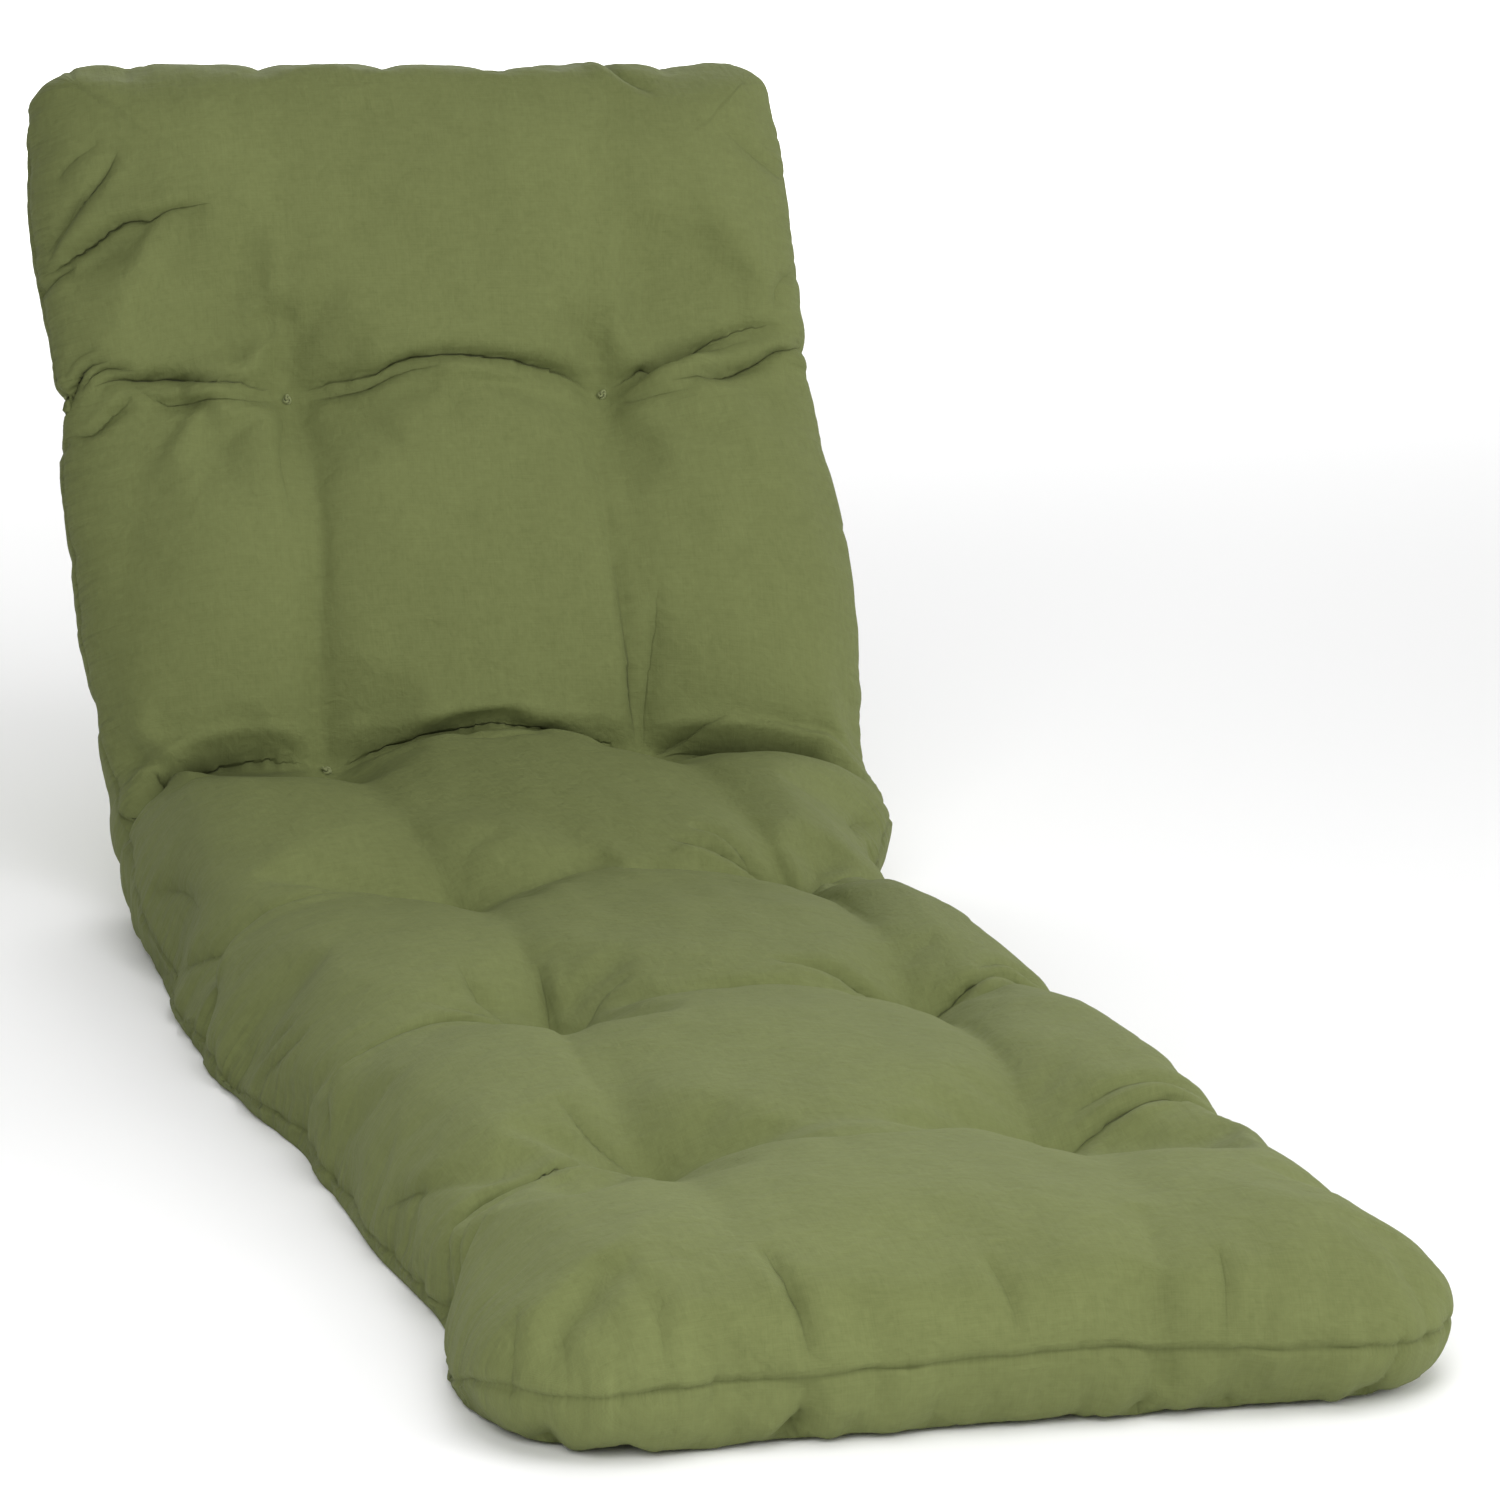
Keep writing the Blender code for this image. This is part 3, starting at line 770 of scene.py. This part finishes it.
def make_skin():
    """The closed skin: an upper grid and a lower one, coarser inside, that share the seam's points."""
    across = even_walk(2 * HALF_WIDTH, CELLS_ACROSS) - HALF_WIDTH
    along = even_walk(LENGTH, CELLS_ALONG)
    u, v = round_corners(*np.meshgrid(across, along))
    rows, columns = u.shape
    upper = lay(u, v, face_height(u, v))
    lower = lay(u, v, underside_height(u, v))
    upper = wander(u, v, upper) - MIDDLE
    lower = wander(u, v, lower) - MIDDLE
    on_seam = np.zeros((rows, columns), bool)
    on_seam[[0, -1], :] = True
    on_seam[:, [0, -1]] = True
    blocks = grid_blocks(rows, columns, along)
    kept = np.zeros((rows, columns), bool)
    for top, bottom, left, right in blocks:
        kept[[top, top, bottom, bottom], [left, right, left, right]] = True
    inner = kept & ~on_seam
    index_up = np.arange(rows * columns).reshape(rows, columns)
    index_low = index_up.copy()
    index_low[inner] = rows * columns + np.arange(inner.sum())
    quads = np.stack([index_up[:-1, :-1], index_up[:-1, 1:], index_up[1:, 1:], index_up[1:, :-1]], -1)
    faces = quads.reshape(-1, 4).tolist()
    for block in blocks:
        faces.append([int(index_low[place]) for place in block_outline(block) if kept[place]])
    points = np.concatenate([upper.reshape(-1, 3), lower[inner]])
    points[:, 2] = np.maximum(points[:, 2], 0.0)
    above, below = (np.stack([u, v, np.full_like(u, side)], -1) for side in (1.0, 0.0))
    flat = np.concatenate([above.reshape(-1, 3), below[inner]])
    rim = np.concatenate([on_seam.ravel(), np.zeros(inner.sum(), bool)])
    return points, faces, flat, rim


def add_object(name, data):
    made = bpy.data.objects.new(name, data)
    bpy.context.scene.collection.objects.link(made)
    return made


def mesh_object(name, points, faces):
    mesh = bpy.data.meshes.new(name)
    mesh.from_pydata(points.tolist(), [], faces)
    mesh.update()
    return add_object(name, mesh)


def unit(vectors):
    return vectors / np.linalg.norm(vectors, axis=-1, keepdims=True)


def read_vectors(data, key):
    values = np.empty(len(data) * 3)
    data.foreach_get(key, values)
    return values.reshape(-1, 3)


def note_vectors(mesh, name, vectors):
    mesh.attributes.new(name, "FLOAT_VECTOR", "POINT").data.foreach_set("vector", vectors.ravel())


def read_skin(mesh):
    """Each point's place on the flat cushion, its place as it lies, and its normal."""
    flat = read_vectors(mesh.attributes["flat"].data, "vector")
    return flat, read_vectors(mesh.vertices, "co"), read_vectors(mesh.vertices, "normal")


def simulate(piece, points, pinned):
    """Presses the skin out with a little spare cloth, held at its tufts and where it lies."""
    group = piece.vertex_groups.new(name="held")
    for index in np.nonzero(pinned > 0)[0]:
        group.add([int(index)], float(pinned[index]), "REPLACE")
    cloth = piece.modifiers.new("cloth", "CLOTH")
    for key, value in CLOTH_SETTINGS.items():
        setattr(cloth.settings, key, value)
    cloth.settings.effector_weights.gravity = 0.0
    cloth.point_cache.frame_start = 1
    cloth.point_cache.frame_end = FRAMES
    for number in range(1, FRAMES + 1):
        bpy.context.scene.frame_set(number)
    evaluated = piece.evaluated_get(bpy.context.evaluated_depsgraph_get())
    moved = read_vectors(evaluated.data.vertices, "co")
    piece.modifiers.remove(cloth)
    piece.vertex_groups.clear()
    bpy.context.scene.frame_set(1)
    step = moved - points
    far = np.linalg.norm(step, axis=1)
    step *= (np.minimum(far, MOST_MOVE) / np.maximum(far, TINY))[:, None]
    return points + step


def sink_seam(piece, points, rim):
    """Draws the seam's points in and keeps its line sharp."""
    points[rim] -= read_vectors(piece.data.vertices, "normal")[rim] * SEAM_SINK
    points[:, 2] = np.maximum(points[:, 2], 0.0)
    piece.data.vertices.foreach_set("co", points.ravel())
    ends = np.empty(len(piece.data.edges) * 2, int)
    piece.data.edges.foreach_get("vertices", ends)
    on_rim = rim[ends.reshape(-1, 2)].all(1)
    crease = piece.data.attributes.new("crease_edge", "FLOAT", "EDGE")
    crease.data.foreach_set("value", on_rim.astype(np.float32))


def smooth_line(points):
    """Points along a smooth curve through the given ones."""
    points = np.asarray(points, float)
    padded = np.concatenate([[2 * points[0] - points[1]], points, [2 * points[-1] - points[-2]]])
    spans = len(points) - 1
    out = []
    for index in range(spans):
        p0, p1, p2, p3 = padded[index:index + 4]
        t = np.linspace(0, 1, CREASE_SAMPLES // spans + 1, endpoint=index == spans - 1)[:, None]
        bend = (2 * p0 - 5 * p1 + 4 * p2 - p3) * t ** 2 + (3 * p1 - p0 - 3 * p2 + p3) * t ** 3
        out.append(0.5 * (2 * p1 + (p2 - p0) * t + bend))
    return np.concatenate(out)


class Relief:
    """What the folds do to each point: how far it rises, and how far it slides across and along."""

    def __init__(self, flat):
        self.u, self.v, self.upper = flat.T
        self.rise = np.zeros(len(flat))
        self.slide_u = np.zeros(len(flat))
        self.slide_v = np.zeros(len(flat))
        self.closed = np.zeros(len(flat))
        bend = (path_angle(self.v + PATH_STEP) - path_angle(self.v - PATH_STEP)) / (2 * PATH_STEP)
        self.squash = np.maximum(1.0 - (THICKNESS - SEAM_HEIGHT) * bend * self.upper, LEAST_SQUASH)
        self.layers = np.zeros((CREASE_LAYERS, len(flat), 3))
        self.boxes = [[] for _ in range(CREASE_LAYERS)]

    def free_layer(self, low, high):
        """The first layer with no line in this box, or none."""
        for number, boxes in enumerate(self.boxes):
            if all((low > other[1]).any() or (high < other[0]).any() for other in boxes):
                return number
        return None

    def add_crease(self, depth, width, roll, points, on):
        """A sharp valley along a curve that draws the cloth together, with a rounded roll on one side."""
        line = smooth_line(points)
        reach = CREASE_WIDTHS * width + CREASE_MARGIN
        low, high = line.min(0) - reach, line.max(0) + reach
        inside = (self.u > low[0]) & (self.u < high[0]) & (self.v > low[1]) & (self.v < high[1]) & on
        near = np.nonzero(inside)[0]
        offset = np.stack([self.u[near, None] - line[:, 0], self.v[near, None] - line[:, 1]], -1)
        closest = np.hypot(offset[..., 0], offset[..., 1]).argmin(1)
        offset = offset[np.arange(len(near)), closest]
        distance = np.hypot(offset[:, 0], offset[:, 1] * self.squash[near])
        taper = np.sin(math.pi * closest / (len(line) - 1)) ** TAPER_POWER
        tangent = np.gradient(line, axis=0)[closest]
        run = np.sign(line[-1, 0] - line[0, 0] + TINY) * np.sign(roll + TINY)
        side = (tangent[:, 0] * offset[:, 1] - tangent[:, 1] * offset[:, 0]) * run
        hump = abs(roll) * np.exp(-((distance - ROLL_PLACE * width) / (ROLL_WIDTH * width)) ** 2)
        rise = -depth * np.exp(-distance / width) + np.where(side < 0, hump, FAR_ROLL * hump)
        self.rise[near] += rise * taper
        if width > SHARP_WIDTH:
            return
        span = CLOSING_REACH * width
        close = CLOSING * np.minimum(1.0, depth / CLOSING_DEPTH) * np.exp(1.0 - distance / span) * taper
        close = np.minimum(close, MOST_CLOSED - self.closed[near])
        self.closed[near] += close
        self.slide_u[near] -= close * offset[:, 0]
        self.slide_v[near] -= close * offset[:, 1]
        # The line's place and strength, for the finish's relief and its painted shade along the crease
        box = (line.min(0) - LINE_CLEAR, line.max(0) + LINE_CLEAR)
        number = self.free_layer(*box)
        if number is None:
            return
        self.boxes[number].append(box)
        strength = min(depth / DEEP_CREASE, 1.0) ** LINE_POWER * taper
        strength = strength * ease(1.0 - (distance - LINE_CLEAR) / LINE_FADE)
        stronger = strength > self.layers[number, near, 1]
        kept = near[stronger]
        self.layers[number, kept, 0] = np.copysign(distance, side)[stronger]
        self.layers[number, kept, 1] = strength[stronger]

    def add_hollows(self):
        for u, v, depth, reach_u, reach_v in HOLLOWS:
            away = ((self.u - u) / reach_u) ** 2 + ((self.v - v) / reach_v) ** 2
            self.rise -= depth * np.exp(-away) * self.upper

    def add_tuft_folds(self):
        """Folds that run out from each tuft, deepest near it."""
        for number, (column, row) in enumerate(TUFTS):
            du, dv = self.u - column, self.v - row
            distance = np.hypot(du, dv)
            turn = np.arctan2(dv, du)
            ring = np.cos(turn) + 3.0, np.sin(turn) + 3.0
            hills = np.abs(smooth_noise(*ring, TUFT_FOLD_CELL, TUFT_FOLD_SEED + number))
            wave = 1.0 - np.minimum(1.0, TUFT_FOLD_SHARPNESS * hills)
            start = distance / (distance + TUFT_FOLD_START)
            fold = TUFT_FOLD_HEIGHT * wave * start * np.exp(-distance / TUFT_FOLD_REACH)
            self.rise -= fold * self.upper

    def add_puckers(self):
        """Small gathers across the seam, and fewer deep ones, along the sides and round the two ends."""
        walk, _, _, clear = rim_walk(self.u, self.v)
        inward = inward_walk(self.u, self.v)
        lean = PUCKER_LEAN * seam_noise(walk, "lean") * inward
        patchy = mix(LEAST_PUCKER, 1.0, patches(walk, "fine patches", *FINE_PATCHES))
        fine = sharp_folds(walk + lean, FINE_STRETCH * inward, "fine pucker") - 1.0
        self.rise += FINE_PUCKER * fine * patchy * np.exp(-inward / FINE_PUCKER_REACH) * clear
        deep = sharp_folds(walk + DEEP_LEAN * lean, DEEP_STRETCH * inward, "deep pucker")
        deep = np.minimum(1.0, DEEP_BROADENED * deep) - 1.0
        some = patches(walk, "deep patches", *DEEP_PATCHES)
        some = some * mix(FOOT_CALM, 1.0, ease(self.v / FOOT_CALM_RUN))
        self.rise += GATHER * deep * some * np.exp(-inward / GATHER_REACH) * clear

    def add_notches(self):
        """The rim drawn in where each row's channel meets it."""
        inward = inward_walk(self.u, self.v)
        for row, side, along, depth, width in NOTCHES:
            away = np.abs(self.v - TUFT_ROWS[row] - along - NOTCH_LEAN * inward)
            roll = np.exp(-((away - NOTCH_ROLL_PLACE * width) / (NOTCH_ROLL_WIDTH * width)) ** 2)
            groove = np.exp(-away / width) - NOTCH_ROLL * roll
            self.rise -= depth * groove * np.exp(-inward / NOTCH_REACH) * (self.u * side > 0)

    def add_lumps(self):
        lumps = smooth_noise(self.u, self.v, *PATTERNS["lumps"])
        lumps += SMALL_LUMPS * smooth_noise(self.u, self.v, *PATTERNS["small lumps"])
        ripples = smooth_noise(self.u, self.v * RIPPLE_STRETCH, *PATTERNS["ripples"])
        calm = 1.0 - np.exp(-distance_from_edge(self.u, self.v) / LUMP_FADE)
        height = LUMP_HEIGHT * lumps + RIPPLE_HEIGHT * ripples
        self.rise += height * calm * mix(LUMPS_BELOW, 1.0, self.upper)

    def note_hollows(self):
        """How far each point lies in a hollow, from 0 to 1, for the painted shade that the finish lays into
        hollows.
        """
        self.layers[0, :, 2] = np.clip((-self.rise - HOLLOW_START) / HOLLOW_FULL, 0.0, 1.0)

    def keep_tufts(self):
        """Lets nothing but a tuft's own folds move the place where its knot sits."""
        for column, row in TUFTS:
            free = ease(np.hypot(self.u - column, self.v - row) / TUFT_CLEAR)
            self.rise *= free
            self.slide_u *= free
            self.slide_v *= free
            self.layers[:, :, 1] *= free


def steady_normals(flat, normals):
    """The skin's normals, replaced by those of the bent path inside the fold, where it doubles back."""
    u, v, upper = flat.T
    turn = path_angle(v)
    straight = np.stack([0 * v, -np.sin(turn), np.cos(turn)], -1)
    share = np.exp(-((v - FOLD) / FOLD_STEADY) ** 4) * ease(distance_from_edge(u, v) / RIM_STEADY) * upper
    return unit(mix(normals, straight, share[:, None]))


def add_details(piece):
    """Folds, creases and puckers, pressed into the skin along its normals."""
    mesh = piece.data
    flat, points, normals = read_skin(mesh)
    relief = Relief(flat)
    relief.add_lumps()
    relief.add_hollows()
    above, below = relief.upper > 0.5 - SEAM_OVERLAP, relief.upper < 0.5 + SEAM_OVERLAP
    for creases, side in ((CREASES, above), (UNDER_CREASES, below)):
        for depth, width, roll, *line in creases:
            sizes = (size / MILLIMETRES for size in (depth, width, roll))
            relief.add_crease(*sizes, np.array(line) / MILLIMETRES, side)
    relief.note_hollows()
    relief.keep_tufts()
    relief.add_tuft_folds()
    relief.add_puckers()
    relief.add_notches()
    normals = steady_normals(flat, normals)
    lying = (points[:, 2] < LYING) & (relief.upper < 0.5)
    u, v, upper = flat.T
    height = np.where(upper > 0.5, face_height(u, v), underside_height(u, v))
    across, along = tangents(u, v, height)
    step = normals * relief.rise[:, None]
    step += across * relief.slide_u[:, None]
    step += along * relief.slide_v[:, None]
    step[lying] = 0.0
    points = points + step
    points[:, 2] = np.maximum(points[:, 2], 0.0)
    mesh.vertices.foreach_set("co", points.ravel())
    mesh.update()
    for number, layer in enumerate(relief.layers):
        note_vectors(mesh, f"crease_{number}", layer)


def add_cloth_places(mesh):
    """A map of the cloth in metres, walked over its rims, and each point's place beside the seam."""
    u, v, _ = read_vectors(mesh.attributes["flat"].data, "vector").T
    across, along = (np.copysign(walk_in(half) - walk_in(half - np.abs(place)), place)
                     for half, place in ((HALF_WIDTH, u), (LENGTH / 2, v - LENGTH / 2)))
    loops = np.empty(len(mesh.loops), int)
    mesh.loops.foreach_get("vertex_index", loops)
    layer = mesh.uv_layers.new(name="cloth_metres")
    layer.data.foreach_set("uv", np.stack([across, along], -1)[loops].ravel())
    walk = rim_walk(u, v)[0]
    note_vectors(mesh, "seam_place", np.stack([walk, inward_walk(u, v), 0 * walk], -1))


class Nodes:
    """Short names for the few kinds of node that the finishes and the sky use."""

    def __init__(self, owner, shader="Principled BSDF"):
        owner.use_nodes = True
        self.owner = owner
        self.tree = owner.node_tree
        self.shader = self.tree.nodes[shader]

    def plug(self, value, socket):
        if isinstance(value, bpy.types.NodeSocket):
            self.tree.links.new(value, socket)
        else:
            socket.default_value = value

    def node(self, kind, inputs, output=0, **settings):
        """One output of a new node that has these settings and inputs."""
        made = self.tree.nodes.new(kind)
        for key, value in settings.items():
            setattr(made, key, value)
        for key, value in inputs.items():
            self.plug(value, made.inputs[key])
        return made.outputs[output]

    def attribute(self, name):
        return self.node("ShaderNodeAttribute", {}, "Vector", attribute_name=name)

    def parts(self, vector):
        split = self.tree.nodes.new("ShaderNodeSeparateXYZ")
        self.plug(vector, split.inputs[0])
        return split.outputs

    def math(self, operation, a, b=0.0):
        return self.node("ShaderNodeMath", {0: a, 1: b}, operation=operation)

    def wave(self, distance, pitch):
        return self.math("SINE", self.math("MULTIPLY", distance, 2 * math.pi / pitch))

    def halving(self, distance, reach):
        """1 at no distance, and half as much for each reach further on."""
        return self.math("POWER", 0.5, self.math("MULTIPLY", distance, 1 / reach))

    def ramp(self, value, low, high, low_out, high_out):
        """Eases from low_out to high_out as the value goes from low to high."""
        inputs = {"Value": value, "From Min": low, "From Max": high, "To Min": low_out, "To Max": high_out}
        return self.node("ShaderNodeMapRange", inputs, "Result", interpolation_type="SMOOTHSTEP")

    def noises(self, place, patterns):
        """Noise from 0 to 1 for each pattern, whose hills are 1 / scale metres wide, across and along."""
        look = {}
        for name, (scale, detail, rough, distortion) in patterns.items():
            stretched = self.node("ShaderNodeVectorMath", {0: place, 1: scale}, operation="MULTIPLY")
            inputs = {"Vector": stretched, "Scale": 1.0, "Detail": detail, "Roughness": rough,
                      "Distortion": distortion}
            look[name] = self.node("ShaderNodeTexNoise", inputs, "Fac")
        return look

    def blend(self, factor, a, b):
        return self.node("ShaderNodeMix", {"Factor": factor, "A": a, "B": b}, "Result", data_type="RGBA")

    def weighed(self, look, weights):
        """Sum of the named patterns, each times its weight."""
        out = 0.0
        for name, weight in weights.items():
            out = self.math("ADD", self.math("MULTIPLY", look[name], weight), out)
        return out

    def crease_lines(self):
        """From 0 to 1: the creases' sharp bottoms, overlapping edges and depth, and the hollows, for the
        cloth's relief and its painted shade.
        """
        groove, lip, depth, hollow = 0.0, 0.0, 0.0, 0.0
        for number in range(CREASE_LAYERS):
            beside, strength, hollow_here = self.parts(self.attribute(f"crease_{number}"))
            away = self.math("ABSOLUTE", beside)
            wide = self.halving(away, LIP_HALF)
            edge = self.math("MULTIPLY", self.ramp(beside, 0.0, LIP_EDGE, 0.0, 1.0), wide)
            narrow = self.halving(away, LINE_HALF)
            groove = self.math("ADD", self.math("MULTIPLY", narrow, strength), groove)
            lip = self.math("ADD", self.math("MULTIPLY", edge, strength), lip)
            depth = self.math("ADD", self.math("MULTIPLY", wide, strength), depth)
            hollow = self.math("ADD", hollow_here, hollow)
        return groove, lip, depth, hollow

    def finish(self, colour, roughness, gloss, height=0.0):
        """Plugs in the colour, roughness and relief, sets the gloss, and gives back what was finished."""
        relief = self.node("ShaderNodeBump", {"Strength": 1.0, "Distance": 1.0, "Height": height}, "Normal")
        sockets = {"Base Color": colour, "Roughness": roughness, "Normal": relief} | gloss
        for key, value in sockets.items():
            self.plug(value, self.shader.inputs[key])
        return self.owner


def cloth_material():
    """Plain-woven cotton blend: threads, slubs, soft crumple, uneven dye, the seam's needle pulls, and
    painted shade in creases, in hollows and along the seam.
    """
    made = Nodes(bpy.data.materials.new("olive_cloth"))
    place = made.node("ShaderNodeUVMap", {}, "UV", uv_map="cloth_metres")
    across, along, _ = made.parts(place)
    seam_place = made.attribute("seam_place")
    seam_walk, inward, _ = made.parts(seam_place)
    look = made.noises(place, CLOTH_NOISES) | made.noises(seam_place, SEAM_NOISES)
    look["weave"] = made.math("MULTIPLY", made.wave(across, WEAVE_PITCH), made.wave(along, WEAVE_PITCH))
    # Near the seam: its needle pulls, and painted shade along its line
    look["near_seam"] = made.halving(inward, NEEDLE_REACH)
    look["pulls"] = made.math("MULTIPLY", look["near_seam"], made.wave(seam_walk, STITCH_PITCH))
    look["gathers"] = made.math("MULTIPLY", look["gathers"], made.halving(inward, GATHERED_WALL))
    look["gathers"] = made.math("MULTIPLY", look["gathers"], made.ramp(along, *GATHERS_START))
    look["groove"], look["lip"], look["depth"], look["hollow"] = made.crease_lines()
    tint = made.math("SUBTRACT", made.weighed(look, TINT_WEIGHTS), TINT_MIDDLE)
    colour = made.blend(tint, CLOTH_DARK, CLOTH_LIGHT)
    # Painted shade: darker at crease bottoms, beside deep creases, in hollows and along the seam's line
    painted_shade = made.math("MINIMUM", made.weighed(look, PAINTED_SHADE_WEIGHTS), MOST_PAINTED_SHADE)
    colour = made.blend(painted_shade, colour, PAINTED_SHADE_COLOUR)
    roughness = made.math("ADD", made.weighed(look, ROUGH_WEIGHTS), CLOTH_ROUGHNESS)
    return made.finish(colour, roughness, CLOTH_GLOSS, made.weighed(look, BUMP_HEIGHTS))


def thread_material():
    """Twisted polyester thread, a little lighter than the cloth."""
    made = Nodes(bpy.data.materials.new("tuft_thread"))
    look = made.noises(made.node("ShaderNodeTexCoord", {}, "Object"), THREAD_NOISES)
    colour = made.blend(made.weighed(look, THREAD_TINT), THREAD_DARK, THREAD_LIGHT)
    roughness = made.math("ADD", made.weighed(look, THREAD_ROUGH), THREAD_ROUGHNESS)
    return made.finish(colour, roughness, THREAD_GLOSS, made.weighed(look, THREAD_BUMP))


def make_cushion():
    points, faces, flat, rim = make_skin()
    piece = mesh_object("cushion_skin", points, faces)
    u, v, _ = flat.T
    near_tuft = np.min([np.hypot(u - column, v - row) for column, row in TUFTS], axis=0)
    pinned = np.clip(TUFT_HELD - near_tuft / TUFT_HOLD, 0, 1)
    pinned[(flat[:, 2] < 0.5) & (points[:, 2] < GROUND_HOLD)] = 1.0
    points = simulate(piece, points, pinned)
    piece.data.vertices.foreach_set("co", points.ravel())
    piece.data.update()
    sink_seam(piece, points, rim)
    note_vectors(piece.data, "flat", flat)
    smooth = piece.modifiers.new("smooth", "SUBSURF")
    smooth.levels = 1
    smooth.render_levels = 1
    with bpy.context.temp_override(object=piece, active_object=piece, selected_objects=[piece]):
        bpy.ops.object.modifier_apply(modifier=smooth.name)
    add_details(piece)
    add_cloth_places(piece.data)
    piece.data.shade_smooth()
    piece.data.materials.append(cloth_material())
    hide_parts("cushion")
    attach(piece, "root")
    return piece


def knot_mesh():
    """A thread wound through itself, and laid up from three plies."""
    t = np.arange(KNOT_STEPS) / KNOT_STEPS * 2 * math.pi
    ring = np.stack([np.cos(2 * t), np.sin(2 * t), 0 * t], -1)
    centre = ring * (KNOT_RING + KNOT_WIND * np.cos(3 * t))[:, None]
    centre[:, 2] = KNOT_WIND * np.sin(3 * t)
    forward = unit(np.roll(centre, -1, 0) - np.roll(centre, 1, 0))
    across = unit(np.cross(forward, centre - ring * KNOT_RING))
    outward = np.cross(across, forward)
    turn = np.arange(THREAD_SIDES) / THREAD_SIDES * 2 * math.pi
    ply = np.abs(np.sin((THREAD_PLIES * turn[None, :] + PLY_TURNS * t[:, None]) / 2))
    radius = KNOT_THREAD * (1.0 - PLY_DEPTH + PLY_DEPTH * ply)
    points = centre[:, None] + radius[..., None] * (np.cos(turn)[None, :, None] * outward[:, None]
                                                    + np.sin(turn)[None, :, None] * across[:, None])
    index = np.arange(KNOT_STEPS * THREAD_SIDES).reshape(KNOT_STEPS, THREAD_SIDES)
    ahead, beside = np.roll(index, -1, 0), np.roll(index, -1, 1)
    quads = np.stack([index, ahead, np.roll(ahead, -1, 1), beside], -1).reshape(-1, 4)
    return points.reshape(-1, 3) * KNOT_STRETCH, quads.tolist()


def make_knots(skin):
    flat, points, normals = read_skin(skin.data)
    thread = thread_material()
    shape, faces = knot_mesh()
    for number, row in enumerate(TUFT_ROWS[::-1], start=1):
        for side, column in (("left", -TUFT_COLUMN), ("right", TUFT_COLUMN)):
            far = np.hypot(flat[:, 0] - column, flat[:, 1] - row)
            far[flat[:, 2] < 0.5] = math.inf
            up = unit(normals[far < KNOT_SURROUND].mean(0))
            right = unit(np.cross((0.0, math.cos(path_angle(row)), math.sin(path_angle(row))), up))
            spin = KNOT_SPIN * number + (LEFT_KNOT_SPIN if side == "left" else 0.0)
            forward = np.cross(up, right)
            turned = np.cos(spin) * right + np.sin(spin) * forward
            axes = np.stack([turned, np.cross(up, turned), up])
            place = points[far.argmin()] + KNOT_SEAT * up
            name = f"knot_{number}_{side}"
            knot = mesh_object(name, shape @ axes + place, faces)
            knot.data.shade_smooth()
            knot.data.materials.append(thread)
            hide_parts(f"tuft_{name}")
            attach(knot, "root")


def set_camera():
    data = bpy.data.cameras.new("camera")
    data.lens = LENS
    camera = add_object("camera", data)
    turn = Matrix((CAMERA_RIGHT, CAMERA_UP, CAMERA_BACK)).transposed().to_4x4()
    camera.matrix_world = Matrix.Translation(CAMERA_PLACE) @ turn
    bpy.context.scene.camera = camera


def area_light(name, place, target, size, power):
    data = bpy.data.lights.new(name, "AREA")
    data.shape = "RECTANGLE"
    data.size, data.size_y = size
    data.energy = power
    lamp = add_object(name, data)
    lamp.location = place
    lamp.rotation_euler = (Vector(target) - Vector(place)).to_track_quat("-Z", "Y").to_euler()


def set_floor():
    corners = [(-1, -1, 0), (1, -1, 0), (1, 1, 0), (-1, 1, 0)]
    floor = mesh_object("floor", FLOOR_HALF * np.array(corners), [(0, 1, 2, 3)])
    made = Nodes(bpy.data.materials.new("pale_floor"))
    floor.data.materials.append(made.finish(FLOOR_COLOUR, FLOOR_ROUGHNESS, FLOOR_GLOSS))


def set_light():
    sky = Nodes(bpy.data.worlds.new("studio"), "Background")
    across, _, _ = sky.parts(sky.node("ShaderNodeTexCoord", {}, "Generated"))
    sky.plug(SKY_COLOUR, sky.shader.inputs["Color"])
    sky.plug(sky.ramp(across, *SKY_RANGE), sky.shader.inputs["Strength"])
    bpy.context.scene.world = sky.owner
    bpy.context.scene.view_settings.view_transform = "Standard"
    for light in LIGHTS:
        area_light(*light)


set_camera()
skin = make_cushion()
make_knots(skin)
set_floor()
set_light()
